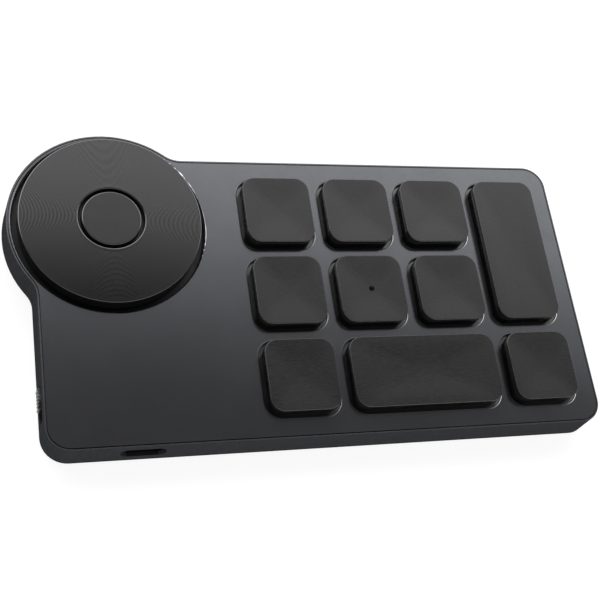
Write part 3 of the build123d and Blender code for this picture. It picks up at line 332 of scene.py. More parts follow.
# ---------------------------------------------------------------- material helpers
class Nodes:
    """Short calls for a material's node tree."""

    def __init__(self, name):
        self.material = bpy.data.materials.new(name)
        self.material.use_nodes = True
        self.tree = self.material.node_tree
        self.tree.nodes.clear()
        self.output = self.tree.nodes.new("ShaderNodeOutputMaterial")
        self.shader = self.tree.nodes.new("ShaderNodeBsdfPrincipled")
        self.link(self.shader.outputs[0], self.output.inputs[0])
        place = self.tree.nodes.new("ShaderNodeTexCoord")
        self.place = place.outputs["Object"]

    def link(self, source, target):
        """Joins an output to an input."""
        self.tree.links.new(source, target)

    def plain(self, **values):
        """Sets the shader's own sockets, named with underscores for spaces."""
        for key, value in values.items():
            self.shader.inputs[key.replace("_", " ")].default_value = value

    def mapping(self, location=(0, 0, 0), scale=(1, 1, 1)):
        """Object coordinates less a location, times a scale."""
        node = self.tree.nodes.new("ShaderNodeMapping")
        self.link(self.place, node.inputs["Vector"])
        node.inputs["Location"].default_value = [-a * b for a, b in zip(location, scale)]
        node.inputs["Scale"].default_value = scale
        return node.outputs[0]

    def noise(self, size, detail=3, roughness=0.6, vector=None):
        """Noise whose lumps are about size metres."""
        node = self.tree.nodes.new("ShaderNodeTexNoise")
        self.link(vector or self.place, node.inputs["Vector"])
        node.inputs["Scale"].default_value = 1 / size
        node.inputs["Detail"].default_value = detail
        node.inputs["Roughness"].default_value = roughness
        return node.outputs[0]

    def between(self, source, low, high, source_low=0.3, source_high=0.7):
        """A number moved from one range to another."""
        node = self.tree.nodes.new("ShaderNodeMapRange")
        self.link(source, node.inputs["Value"])
        node.inputs["From Min"].default_value = source_low
        node.inputs["From Max"].default_value = source_high
        node.inputs["To Min"].default_value = low
        node.inputs["To Max"].default_value = high
        return node.outputs[0]

    def math(self, operation, first, second=0.0):
        """A sum, a product or the like of two numbers, each worked out or given."""
        node = self.tree.nodes.new("ShaderNodeMath")
        node.operation = operation
        for socket, value in zip(node.inputs, (first, second)):
            if isinstance(value, (int, float)):
                socket.default_value = value
            else:
                self.link(value, socket)
        return node.outputs[0]

    def colours(self, source, low, high, source_low=0.3, source_high=0.7):
        """A blend of two colours, led by a number."""
        node = self.tree.nodes.new("ShaderNodeValToRGB")
        self.link(source, node.inputs[0])
        first, last = node.color_ramp.elements
        first.position, last.position = source_low, source_high
        first.color, last.color = (*low, 1), (*high, 1)
        return node.outputs[0]

    def blend(self, factor, low, high):
        """A blend of two colours that are worked out themselves."""
        node = self.tree.nodes.new("ShaderNodeMix")
        node.data_type = "RGBA"
        self.link(factor, node.inputs["Factor"])
        self.link(low, node.inputs[6])
        self.link(high, node.inputs[7])
        return node.outputs[2]

    def bump(self, height, distance):
        """Bump of a height from 0 to 1, which stands for distance metres."""
        node = self.tree.nodes.new("ShaderNodeBump")
        self.link(height, node.inputs["Height"])
        node.inputs["Distance"].default_value = distance
        node.inputs["Strength"].default_value = 1.0
        return node.outputs[0]

    def parts(self, vector):
        """The x, y and z parts of a vector."""
        node = self.tree.nodes.new("ShaderNodeSeparateXYZ")
        self.link(vector, node.inputs[0])
        return node.outputs

    def set(self, socket, source):
        """Leads one of the shader's own sockets."""
        self.link(source, self.shader.inputs[socket])


def grey(level, blue=1.0):
    """A neutral colour, or one that leans a little to blue."""
    return (level, level * (0.8 + 0.2 * blue), level * blue)


def moulded(name, colour, roughness, grain=0.12 * MM, depth=0.006 * MM, spread=0.06, specular=0.5):
    """Moulded plastic: a fine spark-eroded grain, faint flow marks and uneven gloss."""
    n = Nodes(name)
    low = tuple(c * 0.86 for c in colour)
    high = tuple(min(1, c * 1.12) for c in colour)
    n.set("Base Color", n.colours(n.noise(6 * MM, 4), low, high))
    n.set("Roughness", n.between(n.noise(2.5 * MM, 3), roughness - spread, roughness + spread))
    n.set("Normal", n.bump(n.noise(grain, 2), depth))
    n.plain(Specular_IOR_Level=specular)
    return n.material


# ---------------------------------------------------------------- materials
CUT_ROUGHNESS = 0.12            # polished edges of the plate
LEVEL_ROUGHNESS = (0.11, 0.17)  # gloss of the plate's top, from pit to pit
LEVEL_COLOURS = (grey(0.080, 1.10), grey(0.096, 1.10))
LEVEL_HAZE = 0.15               # share of the plate's sheen that is scattered evenly
LEVEL_NORMAL = (0.95, 0.995)    # height parts of a normal between which a surface turns level


def level_share(n):
    """1 where a surface is level and 0 where it turns away: the height part of its normal."""
    normal = n.tree.nodes.new("ShaderNodeNewGeometry").outputs["Normal"]
    return n.between(n.parts(normal)[2], 0, 1, *LEVEL_NORMAL)


def level_colour(n):
    """The plate's slightly uneven colour."""
    return n.colours(n.noise(12 * MM, 7, 0.72), *LEVEL_COLOURS)


def blasted_plate():
    """Dark anodised metal after bead blasting: fine pits, a cool tint and polished cut edges."""
    n = Nodes("plate_finish")
    level = level_share(n)
    n.set("Metallic", n.math("SUBTRACT", 1.0, n.math("MULTIPLY", level, LEVEL_HAZE)))
    cut = n.colours(n.noise(0.08 * MM, 2), grey(0.50, 1.03), grey(0.66, 1.03))
    n.set("Base Color", n.blend(level, cut, level_colour(n)))
    pits = n.noise(0.09 * MM, 2)
    extra = n.between(pits, *(roughness - CUT_ROUGHNESS for roughness in LEVEL_ROUGHNESS))
    n.set("Roughness", n.math("ADD", n.math("MULTIPLY", level, extra), CUT_ROUGHNESS))
    n.set("Normal", n.bump(pits, 0.004 * MM))
    return n.material


def casing():
    """The side frame: its rim is as the plate, its walls are darker with fine upright lines.

    The lines are noise stretched along the height. The wall's lowest edge is painted near black, a
    painted shade line in place of the shadow gap under the wall.
    """
    n = Nodes("frame_finish")
    level = level_share(n)
    lines = n.noise(0.16 * MM, 3, vector=n.mapping(scale=(1, 1, 0.04)))
    wall = n.colours(lines, grey(0.035, 1.12), grey(0.055, 1.12))
    # painted shade: below these heights the wall's colour turns near black, standing in for the
    # shade at its foot
    above_foot = n.between(n.parts(n.place)[2], 0, 1, *PAINTED_SHADE_FOOT)
    dark = n.colours(lines, grey(0.004), grey(0.008))
    wall = n.blend(above_foot, dark, wall)
    n.set("Base Color", n.blend(level, wall, level_colour(n)))
    n.set("Metallic", n.math("MULTIPLY", level, 1 - LEVEL_HAZE))
    rough = n.math("ADD", n.math("MULTIPLY", level, -0.20), n.between(lines, 0.42, 0.52))
    n.set("Roughness", rough)
    n.set("Normal", n.bump(lines, 0.004 * MM))
    n.plain(Specular_IOR_Level=0.0)
    return n.material


def brushed_cap():
    """Key tops: satin black with a fine straight grain along the rows."""
    n = Nodes("key_top_finish")
    grain = n.noise(0.16 * MM, 3, vector=n.mapping(scale=(0.12, 1, 1)))
    n.set("Base Color", n.colours(grain, grey(0.0005), grey(0.007)))
    uneven = n.between(n.noise(7 * MM, 3), -0.015, 0.015)
    n.set("Roughness", n.math("ADD", n.between(grain, 0.24, 0.32), uneven))
    n.set("Normal", n.bump(grain, 0.0015 * MM))
    n.plain(Specular_IOR_Level=0.44)
    return n.material


def polished_wall():
    """Key sides: glossy black moulded plastic with a faint ripple."""
    n = Nodes("key_wall_finish")
    n.set("Base Color", n.colours(n.noise(3 * MM), grey(0.005), grey(0.009)))
    n.set("Roughness", n.between(n.noise(1.2 * MM, 2), 0.12, 0.2))
    n.set("Normal", n.bump(n.noise(1.6 * MM, 2), 0.004 * MM))
    n.plain(Specular_IOR_Level=0.8)
    return n.material


def painted_edge_highlight():
    """The rounded edge of a key: shinier than its top, and paler in colour as a painted highlight
    line.
    """
    n = Nodes("key_edge_painted_highlight")
    # painted highlight: the paler colour stands in for the light line along each key's edge
    n.set("Base Color", n.colours(n.noise(1.5 * MM, 4), grey(0.016), grey(0.030)))
    n.set("Roughness", n.between(n.noise(0.5 * MM), 0.16, 0.26))
    n.plain(Specular_IOR_Level=0.9)
    return n.material


def turned_metal():
    """The dial's face: dark anodised metal, paler on the ridges of its turned rings.

    The rings are the cosine of the distance to the axis, in step with the ridges of the surface.
    """
    n = Nodes("dial_face_finish")
    across, along, _ = n.parts(n.mapping(location=(DIAL_AXIS.x, DIAL_AXIS.y, 0)))
    squared = n.math("ADD", n.math("POWER", across, 2), n.math("POWER", along, 2))
    radius = n.math("SQRT", squared)
    rings = n.math("COSINE", n.math("MULTIPLY", radius, 2 * math.pi / RING_PITCH))
    n.set("Base Color", n.colours(n.between(rings, 0, 1, -1, 1), grey(0.0), grey(0.080), 0.1, 0.9))
    wear = n.between(n.noise(6 * MM, 3), -0.015, 0.015)
    n.set("Roughness", n.math("ADD", n.between(rings, 0.09, 0.14, -1, 1), wear))
    n.plain(Metallic=1.0)
    return n.material


def satin_button():
    """The centre button's face: fine matt grain, a touch smoother where fingers rest."""
    n = Nodes("button_finish")
    n.set("Base Color", n.colours(n.noise(4 * MM), grey(0.002), grey(0.004)))
    n.set("Roughness", n.between(n.noise(3 * MM, 3), 0.26, 0.32))
    n.set("Normal", n.bump(n.noise(0.1 * MM, 2), 0.004 * MM))
    n.plain(Specular_IOR_Level=0.46)
    return n.material


def bright_edge():
    """Cut chamfers: bare metal with fine tool lines."""
    n = Nodes("cut_edge_finish")
    n.plain(Metallic=1.0)
    lines = n.noise(0.05 * MM, 2)
    n.set("Base Color", n.colours(lines, grey(0.10, 1.03), grey(0.15, 1.03)))
    n.set("Roughness", n.between(lines, 0.10, 0.18))
    return n.material


def steel(name, level, roughness):
    """Plain or plated steel: fine scratches and uneven brightness."""
    n = Nodes(name)
    n.plain(Metallic=1.0)
    scratch = n.noise(0.15 * MM, 4, vector=n.mapping(scale=(1, 0.1, 1)))
    n.set("Base Color", n.colours(n.noise(2 * MM), grey(level * 0.9), grey(level * 1.1)))
    n.set("Roughness", n.between(scratch, roughness - 0.08, roughness + 0.1))
    n.set("Normal", n.bump(scratch, 0.003 * MM))
    return n.material


def gold_contact():
    """The port's contacts: thin gold plating, a little uneven."""
    n = Nodes("contact_gold")
    n.plain(Metallic=1.0)
    n.set("Base Color", n.colours(n.noise(0.4 * MM), (0.80, 0.52, 0.20), (0.92, 0.64, 0.28)))
    n.set("Roughness", n.between(n.noise(0.2 * MM), 0.18, 0.32))
    return n.material


def rubber():
    """The feet: matt rubber with fine pores and a little dust."""
    n = Nodes("feet_rubber_finish")
    n.set("Base Color", n.colours(n.noise(1.5 * MM, 5), grey(0.010), grey(0.024)))
    n.set("Roughness", n.between(n.noise(0.8 * MM), 0.75, 0.92))
    n.set("Normal", n.bump(n.noise(0.15 * MM, 3), 0.012 * MM))
    return n.material


def board_laminate():
    """The circuit board: very dark green solder mask over tracks that show as a faint relief."""
    n = Nodes("board_finish")
    grid = n.tree.nodes.new("ShaderNodeTexBrick")
    n.link(n.mapping(scale=(1, 1, 0)), grid.inputs["Vector"])
    grid.inputs["Scale"].default_value = 1 / (8 * MM)
    grid.inputs["Color1"].default_value = (0.003, 0.010, 0.007, 1)
    grid.inputs["Color2"].default_value = (0.003, 0.012, 0.008, 1)
    grid.inputs["Mortar"].default_value = (0.006, 0.020, 0.014, 1)
    grid.inputs["Mortar Size"].default_value = 0.04
    n.set("Base Color", grid.outputs["Color"])
    n.set("Roughness", n.between(n.noise(0.5 * MM), 0.28, 0.40))
    n.set("Normal", n.bump(grid.outputs["Fac"], 0.03 * MM))
    return n.material


def battery_foil():
    """The cell: laminated foil with shallow creases."""
    n = Nodes("battery_finish")
    n.plain(Metallic=1.0)
    crease = n.noise(3 * MM, 5)
    n.set("Base Color", n.colours(crease, grey(0.50), grey(0.66)))
    n.set("Roughness", n.between(n.noise(1 * MM), 0.3, 0.45))
    n.set("Normal", n.bump(crease, 0.08 * MM))
    return n.material


def silicone():
    """Mat and domes: cloudy silicone."""
    n = Nodes("silicone_finish")
    n.set("Base Color", n.colours(n.noise(2 * MM, 4), grey(0.55, 0.97), grey(0.68, 0.97)))
    n.set("Roughness", n.between(n.noise(0.6 * MM), 0.42, 0.58))
    n.set("Normal", n.bump(n.noise(0.3 * MM, 2), 0.01 * MM))
    n.plain(Subsurface_Weight=0.2)
    return n.material


def adhesive():
    """Double-sided tape: pale, matt and slightly mottled."""
    n = Nodes("adhesive_finish")
    n.set("Base Color", n.colours(n.noise(0.6 * MM, 4), grey(0.45, 0.92), grey(0.58, 0.92)))
    n.set("Roughness", n.between(n.noise(0.4 * MM), 0.55, 0.75))
    n.set("Normal", n.bump(n.noise(0.2 * MM), 0.01 * MM))
    return n.material


FRAME_FINISH = casing()
COVER_FINISH = moulded("cover_finish", grey(0.014, 1.04), 0.58, grain=0.22 * MM, depth=0.02 * MM)
WELL_FINISH = moulded("well_finish", grey(0.004), 0.5)
GUIDE_FINISH = moulded("guide_finish", grey(0.010), 0.5)
BUSH_FINISH = moulded("bush_finish", grey(0.66, 0.98), 0.4)
CONNECTOR_FINISH = moulded("connector_finish", (0.60, 0.56, 0.47), 0.45)
# black connectors' own colour; the same finish is painted shade on the power switch
BLACK_CONNECTOR_AND_SLOT_SHADE = moulded("black_connector_and_slot_shade", grey(0.008), 0.4)
CHIP_FINISH = moulded("chip_finish", grey(0.012), 0.55)
MAGNET_FINISH = moulded("magnet_finish", grey(0.06), 0.55)
LEAD_FINISH = moulded("lead_finish", (0.30, 0.012, 0.010), 0.35)
SLIDER_FINISH = moulded("slider_finish", grey(0.012), 0.2, spread=0.04)
PLATE_FINISH = blasted_plate()
KEY_TOP_FINISH = brushed_cap()
KEY_WALL_FINISH = polished_wall()
KEY_EDGE_HIGHLIGHT_FINISH = painted_edge_highlight()
NUB_FINISH = moulded("nub_finish", grey(0.0005), 0.16, spread=0.03, specular=0.12)
DIAL_FACE_FINISH = turned_metal()
DIAL_WALL_FINISH = moulded("dial_wall_finish", grey(0.006), 0.2, spread=0.04)
BUTTON_FINISH = satin_button()
CUT_EDGE = bright_edge()
SCREW_FINISH = steel("screw_finish", 0.45, 0.3)
# painted shade: the port's shell is near-black steel, standing in for the shade inside the port
PORT_SHELL_PAINTED_SHADE = steel("port_shell_painted_shade", 0.006, 0.5)
TINNED_FINISH = steel("tinned_finish", 0.6, 0.26)
GOLD = gold_contact()
RUBBER = rubber()
BOARD_FINISH = board_laminate()
BATTERY_FINISH = battery_foil()
SILICONE = silicone()
ADHESIVE = adhesive()

FINISH_OF_SLOT = {
    "frame_plastic": FRAME_FINISH,
    "plate_metal": PLATE_FINISH,
    "cover_plastic": COVER_FINISH,
    "feet_rubber": RUBBER,
    "screw_steel": SCREW_FINISH,
    "board_laminate": BOARD_FINISH,
    "chip_epoxy": CHIP_FINISH,
    "tinned_steel": TINNED_FINISH,
    "battery_foil": BATTERY_FINISH,
    "adhesive": ADHESIVE,
    "connector_plastic": CONNECTOR_FINISH,
    "connector_black": BLACK_CONNECTOR_AND_SLOT_SHADE,
    "lead_insulation": LEAD_FINISH,
    "slider_plastic": SLIDER_FINISH,
    "silicone": SILICONE,
    "guide_plastic": GUIDE_FINISH,
    "well_plastic": WELL_FINISH,
    "bush_plastic": BUSH_FINISH,
    "magnet": MAGNET_FINISH,
    "dial_metal": DIAL_FACE_FINISH,
    "button_plastic": BUTTON_FINISH,
    "key_plastic": KEY_WALL_FINISH,
}

# nodes that differ from the rest of their slot
FINISH_OF_NODE = {
    # painted shade: the near-black shell darkens the inside of the port
    "usb_shell": PORT_SHELL_PAINTED_SHADE,
    # painted shade: the tinned power switch gets the black finish so that the slot beside the
    # slider reads dark
    "power_switch": BLACK_CONNECTOR_AND_SLOT_SHADE,
    "usb_tongue": WELL_FINISH,
}


def finish_frame_nodes():
    """Gives each of the frame's nodes its own finish, or else that of its material slot."""
    for part in frame["record"]["subparts"]:
        mesh = frame["nodes"][part["node"]].data
        finish = FINISH_OF_NODE.get(part["node"], FINISH_OF_SLOT[part["material_slot"]])
        mesh.materials.clear()
        mesh.materials.append(finish)


# ---------------------------------------------------------------- keys
TOP, WALL, NUB, ROUNDING = 0, 1, 2, 3


def key_cap(name):
    """A hollow key cap: its profile runs round the key's rounded outline.

    The profile goes from the plunger's root along the underside of the roof, down inside the
    wall, out round the flange, up the wall, over a rounded edge and in to the middle of the top.
    """
    low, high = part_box(name)
    centre = (low + high) / 2
    half_x = (high.x - low.x) / 2 - KEY_FLANGE
    half_y = (high.y - low.y) / 2 - KEY_FLANGE
    outline, normal = rounded_outline(centre, half_x, half_y, KEY_CORNER_R)
    flange_top = PLATE_UNDERSIDE - KEY_FLANGE_GAP
    flange_low = flange_top - KEY_FLANGE_T
    roof = KEY_TOP - KEY_ROOF_T
    inside = -KEY_WALL_T
    hollow = np.array([[inside, roof], [inside, flange_low]])
    flange = np.array([[KEY_FLANGE, flange_low], [KEY_FLANGE, flange_top]])
    wall_top = KEY_TOP - KEY_EDGE_R
    wall = np.array([[0, flange_top], [0, flange_top + KEY_FOOT_LAND], [0, wall_top]])
    edge = quarter(KEY_EDGE_R, 0, 90, KEY_EDGE_POINTS) + np.array([-KEY_EDGE_R, wall_top])
    lower = swept_rings(outline, normal, np.concatenate([hollow, flange, wall]))
    rounding = swept_rings(outline, normal, edge[:KEY_EDGE_HIGHLIGHTED_POINTS])
    land = np.array([[-inwards, KEY_TOP] for inwards in KEY_BROW])
    brow = swept_rings(outline, normal, np.concatenate([edge[KEY_EDGE_HIGHLIGHTED_POINTS - 1:], land]))
    middle_xy = np.array([centre.x, centre.y])
    crown = np.concatenate([brow, closing_rings(brow[-1], middle_xy, KEY_TOP, CROWN_SHARES)])
    half_top = np.array([half_x, half_y]) - KEY_EDGE_R
    crown[:, :, 2] -= KEY_DISH * dish_depth(crown, middle_xy, half_top)
    under = closing_rings(lower[0], middle_xy, roof, ROOF_SHARES)
    surfaces = [
        skin(np.concatenate([under, lower]), WALL, first_pole=on_axis(centre, roof)),
        skin(rounding, ROUNDING),
        skin(crown, TOP, last_pole=on_axis(centre, KEY_TOP - KEY_DISH)),
        plunger(centre, roof),
    ]
    if name in LONG_KEYS:
        surfaces += wire_lugs(name)
    if name == HOMING_KEY:
        surfaces.append(homing_nub(centre))
    finishes = [KEY_TOP_FINISH, KEY_WALL_FINISH, NUB_FINISH, KEY_EDGE_HIGHLIGHT_FINISH]
    return piece(name + "_cap", surfaces, name, finishes, [name])


def dish_depth(points, middle_xy, half_top):
    """How deep a key's dished top is, from 0 at the edge to 1 in the middle: (1 - u^2)(1 - v^2).

    u and v are a point's distances from the middle as shares of the top's half width and depth.
    """
    u, v = np.moveaxis((points[:, :, :2] - middle_xy) / half_top, -1, 0)
    return np.clip(1 - u ** 2, 0, 1) * np.clip(1 - v ** 2, 0, 1)


def plunger(centre, roof):
    """The square stem under the roof: a rounded square carried straight down to the dome."""
    outline, normal = rounded_outline(
        centre, PLUNGER_HALF, PLUNGER_HALF, PLUNGER_CORNER_R, PLUNGER_CORNER_POINTS)
    ends = (DOME_TOP_Z, roof + WELD)
    rings = swept_rings(outline, normal, np.array([[0, end] for end in ends]))
    first_pole, last_pole = (on_axis(centre, end) for end in ends)
    return skin(rings, WALL, first_pole=first_pole, last_pole=last_pole)


def homing_nub(centre):
    """The low round nub: part of a ball, with radius r sin a and height r cos a from its centre."""
    ball_r = (NUB_R ** 2 + NUB_RISE ** 2) / (2 * NUB_RISE)
    reach = math.asin(min(1, NUB_R / ball_r))
    angle = np.linspace(reach * NUB_SINK, reach * NUB_TIP, NUB_RINGS)
    nub_top = KEY_TOP - KEY_DISH + NUB_RISE
    height = nub_top - ball_r + ball_r * np.cos(angle)
    profile = np.stack([ball_r * np.sin(angle), height], axis=-1)
    rings = turned_rings(profile, centre, AROUND_SMALL)
    first_pole, last_pole = on_axis(centre, height[0]), on_axis(centre, nub_top)
    return skin(rings, NUB, first_pole=first_pole, last_pole=last_pole)


def wire_lugs(name):
    """Two slotted lugs: a rectangle with a slot, pulled to the lug's thickness.

    Four rings of four corners: outer edge at one face, outer edge at the other, slot edge there
    and slot edge at the first face, closed into a loop.
    """
    low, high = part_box(name + "_wire")
    along = 0 if high.x - low.x > high.y - low.y else 1
    across = 1 - along
    slot_low = high.z - WIRE_R - LUG_SLOT_HEIGHT / 2
    slot_high = slot_low + LUG_SLOT_HEIGHT
    roof = KEY_TOP - KEY_ROOF_T + WELD
    sides = np.array([-1, 1, 1, -1])
    outer = np.stack([sides * LUG_HALF_WIDTH, [slot_low - LUG_FLOOR] * 2 + [roof] * 2])
    slot = np.stack([sides * LUG_SLOT_HALF, [slot_low] * 2 + [slot_high] * 2])
    width, height = np.stack([outer, outer, slot, slot], axis=1)
    lugs = []
    for end, side in ((low[along], 1), (high[along], -1)):
        faces = end + side * LUG_FROM_END + np.array([-1, 1, 1, -1]) * LUG_HALF_T
        rings = np.zeros((4, 4, 3))
        rings[:, :, along] = faces[:, None]
        rings[:, :, across] = tip_line(name, across) + width
        rings[:, :, 2] = height
        lugs.append(skin(rings if along == 0 else rings[:, ::-1], WALL, closed_profile=True))
    return lugs


def tip_line(name, across):
    """Where a long key's wire ends lie across the key: the side of the wire away from its bar."""
    low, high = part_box(name + "_wire")
    key = middle(name)
    bar_is_low = abs(low[across] - key[across]) > abs(high[across] - key[across])
    return high[across] - WIRE_R if bar_is_low else low[across] + WIRE_R


def dome(node):
    """A silicone dome that flattens under its plunger: a profile turned about the dome's axis.

    From the middle of the hollow's roof it runs down inside the skirt, out along the foot, up the
    leaning skirt, over a rounded shoulder and in to the middle of the flat top.
    """
    low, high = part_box(node)
    centre = (low + high) / 2
    shoulder = quarter(DOME_SHOULDER_R, DOME_SHOULDER_START, 90, DOME_SHOULDER_POINTS)
    shoulder = shoulder + np.array([DOME_TOP_R - DOME_SHOULDER_R, high.z - DOME_SHOULDER_R])
    roof = high.z - DOME_WALL
    roof_r = DOME_TOP_R - DOME_WALL
    profile = np.concatenate([
        [[roof_r - DOME_SHOULDER_R, roof], [roof_r, roof - DOME_WALL],
         [DOME_BASE_R - DOME_WALL, low.z], [DOME_BASE_R, low.z]],
        shoulder,
        [[DOME_TOP_R * DOME_TOP_SHARE, high.z]]])
    rings = turned_rings(profile, centre, AROUND_SMALL)
    first_pole, last_pole = on_axis(centre, roof), on_axis(centre, high.z)
    surface = skin(rings, 0, first_pole=first_pole, last_pole=last_pole)
    made = piece(node + "_skin", [surface], "base", [SILICONE], [node])
    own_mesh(made)


# ---------------------------------------------------------------- dial and button
FACE, SIDE, EDGE = 0, 1, 2


def cut_edge(r, top, side):
    """A chamfer's profile from its foot at radius r up to the face; side is 1 if the face lies
    outwards of r and -1 if it lies inwards."""
    return np.array([r, top]) + CHAMFER * np.array([side, 1])


def dial():
    """The dial: a profile turned about its axis, with rings z = top - depth sin^2(pi r / pitch).

    The top falls from the bore's edge to the rim with the square of the distance to the axis.
    """
    low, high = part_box("dial_cap")
    r = (high.x - low.x) / 2
    inside = r - DIAL_WALL_T
    roof = high.z - DIAL_ROOF_T
    face_in, face_out = DIAL_BORE_R + CHAMFER_WIDTH, r - CHAMFER_WIDTH
    ring_in, ring_out = face_in + RING_LAND, face_out - RING_LAND
    first, last = math.ceil(ring_in / RING_PITCH), math.floor(ring_out / RING_PITCH)
    turns = np.linspace(first, last, (last - first) * RING_STEPS + 1)
    distance = np.concatenate([[face_in], turns * RING_PITCH, [face_out]])
    rings = np.concatenate([[0], RING_DEPTH * np.sin(np.pi * turns) ** 2, [0]])
    fall = DIAL_CROWN * (distance ** 2 - face_in ** 2) / (face_out ** 2 - face_in ** 2)
    face = np.stack([distance, high.z - fall - rings], axis=-1)[::-1]
    rim = high.z - DIAL_CROWN
    foot = high.z - CHAMFER_DROP
    inner = np.array([
        [DIAL_BORE_R, foot], [DIAL_BORE_R, roof], [inside, roof],
        [inside, low.z], [r, low.z], [r, (low.z + high.z) / 2], [r, rim - CHAMFER_DROP]])
    outer_edge = cut_edge(r, rim, -1)
    bore_edge = cut_edge(DIAL_BORE_R, high.z, 1)[::-1]
    profiles = ((face, FACE), (outer_edge, EDGE), (bore_edge, EDGE), (inner, SIDE))
    surfaces = [
        skin(turned_rings(profile, DIAL_AXIS, AROUND_DIAL), number)
        for profile, number in profiles]
    return piece("dial_turned", surfaces, "dial", [DIAL_FACE_FINISH, DIAL_WALL_FINISH, CUT_EDGE],
                 ["dial_cap"])


def centre_button():
    """The button: a profile turned from the middle of its face round its collar to its stem."""
    low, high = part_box("centre_button")
    stem_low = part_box("button_dome")[1].z
    roof = high.z - BUTTON_ROOF_T
    inside = BUTTON_R - BUTTON_WALL_T
    stem = np.array([
        [BUTTON_STEM_R * BUTTON_STEM_END_SHARE, stem_low], [BUTTON_STEM_R, stem_low],
        [BUTTON_STEM_R, roof], [inside, roof], [inside, low.z], [BUTTON_COLLAR_R, low.z],
        [BUTTON_COLLAR_R, low.z + BUTTON_COLLAR_H], [BUTTON_R, low.z + BUTTON_COLLAR_H],
        [BUTTON_R, high.z - CHAMFER_DROP]])
    face_out = BUTTON_R - CHAMFER_WIDTH
    distance = np.linspace(face_out, BUTTON_R * BUTTON_FACE_SHARE, BUTTON_FACE_RINGS)
    face = np.stack([distance, np.full(BUTTON_FACE_RINGS, high.z)], axis=-1)
    stem, edge, face = (
        turned_rings(profile, DIAL_AXIS, AROUND_BUTTON)
        for profile in (stem, cut_edge(BUTTON_R, high.z, -1), face))
    surfaces = [
        skin(stem, SIDE, first_pole=on_axis(DIAL_AXIS, stem_low)),
        skin(edge, EDGE),
        skin(face, FACE, last_pole=on_axis(DIAL_AXIS, high.z))]
    return piece("centre_button_cap", surfaces, "centre_button",
                 [BUTTON_FINISH, DIAL_WALL_FINISH, CUT_EDGE], ["centre_button"])


# ---------------------------------------------------------------- slider and port
def ribbed_knob(x_out, x_in, y_middle, z_low, z_high):
    """The slider's knob: its outline from above, carried up between drawn-in ends.

    The outer side is x = depth sin^2(pi ribs s), with s from 0 to 1 along the ribs. At each end
    the outline shrinks about its middle by edge (1 - sin t) while it rises by edge (1 - cos t).
    """
    half = SLIDER_HALF_LENGTH
    run = half - SLIDER_END_LAND
    share = np.linspace(0, 1, SLIDER_RIBS * SLIDER_RIB_POINTS + 1)
    depth = SLIDER_RIB_DEPTH * np.sin(np.pi * SLIDER_RIBS * share) ** 2
    ribs = np.stack([x_out + depth, run - 2 * run * share], axis=-1)
    corner = SLIDER_END_ROUND
    back = quarter(corner, 90, 180, SLIDER_END_POINTS)
    back = back + np.array([x_out + corner, half - corner])
    front = quarter(corner, 180, 270, SLIDER_END_POINTS)
    front = front + np.array([x_out + corner, corner - half])
    outline = np.concatenate([[[x_in, -half], [x_in, half]], back, ribs, front])
    outline = outline + np.array([0, y_middle])
    centre = np.array([(x_out + x_in) / 2, y_middle])
    turn = np.linspace(0, np.pi / 2, SLIDER_END_POINTS)
    drawn_in = 1 - corner / half * (1 - np.sin(turn))
    rise = corner * (1 - np.cos(turn))
    shares = np.concatenate([drawn_in, drawn_in[::-1]])
    heights = np.concatenate([z_low + rise, (z_high - rise)[::-1]])
    rings = lifted(centre + shares[:, None, None] * (outline - centre), heights)
    return skin(rings, 0, first_pole=(*centre, z_low), last_pole=(*centre, z_high))


def power_slider():
    """The ribbed knob, the flange that keeps it behind the wall and the fork's two prongs."""
    low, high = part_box("power_slider")
    y = (low.y + high.y) / 2
    flange_in = low.x + SLIDER_FLANGE_FROM_FACE
    flange_out = flange_in + SLIDER_FLANGE_T
    prong_low = high.z - SLIDER_HALF_HEIGHT - PRONG_H
    surfaces = [
        ribbed_knob(low.x, flange_in + WELD, y, low.z, high.z),
        soft_block((flange_in, low.y, low.z), (flange_out, high.y, high.z), *BLOCK_ROUNDING)]
    for side in (-1, 1):
        near = y + side * PRONG_FROM_MIDDLE
        far = y + side * (PRONG_FROM_MIDDLE + PRONG_WIDTH)
        prong_front, prong_back = sorted((near, far))
        surfaces.append(soft_block(
            (flange_out - WELD, prong_front, prong_low),
            (high.x, prong_back, prong_low + PRONG_H), *BLOCK_ROUNDING))
    return piece("slider_knob", surfaces, "power_slider", [SLIDER_FINISH],
                 ["power_slider"])


def port_contacts():
    """Thin gold pads in two rows, above and below the port's tongue."""
    low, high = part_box("usb_tongue")
    x = (low.x + high.x) / 2
    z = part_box("usb_shell")[1].z - PORT_HALF_HEIGHT
    front = low.y + CONTACT_SETBACK
    surfaces = []
    for column in np.arange(CONTACTS) - (CONTACTS - 1) / 2:
        left = x + column * CONTACT_PITCH - CONTACT_WIDTH / 2
        for face in (-1, 1):
            surface_z = z + face * TONGUE_HALF_T
            surfaces.append(soft_block(
                (left, front, surface_z - CONTACT_HALF_T),
                (left + CONTACT_WIDTH, front + CONTACT_LENGTH, surface_z + CONTACT_HALF_T),
                *CONTACT_ROUNDING))
    return piece("port_contacts", surfaces, "base", [GOLD])


# ---------------------------------------------------------------- scene
# The camera's own axes, seen in the frame: right, up and back towards the viewer.
CAMERA_PLACE = (-0.077597, -0.094571, 0.218362)
CAMERA_RIGHT = (0.950193, -0.139644, 0.278626)
CAMERA_UP = (0.017195, 0.916130, 0.400512)
CAMERA_BACK = (-0.311187, -0.375772, 0.872902)
LENS = 67.857                   # millimetres on a sensor 36 millimetres wide
SENSOR = 36.0
CAMERA_CLIP = (0.005, 20)


def add_camera():
    """The camera, placed and turned by its own axes."""
    data = bpy.data.cameras.new("camera")
    data.lens = LENS
    data.sensor_width = SENSOR
    data.clip_start, data.clip_end = CAMERA_CLIP
    camera = bpy.data.objects.new("camera", data)
    bpy.context.scene.collection.objects.link(camera)
    turn = Matrix((CAMERA_RIGHT, CAMERA_UP, CAMERA_BACK)).transposed().to_4x4()
    camera.matrix_world = Matrix.Translation(CAMERA_PLACE) @ turn
    bpy.context.scene.camera = camera


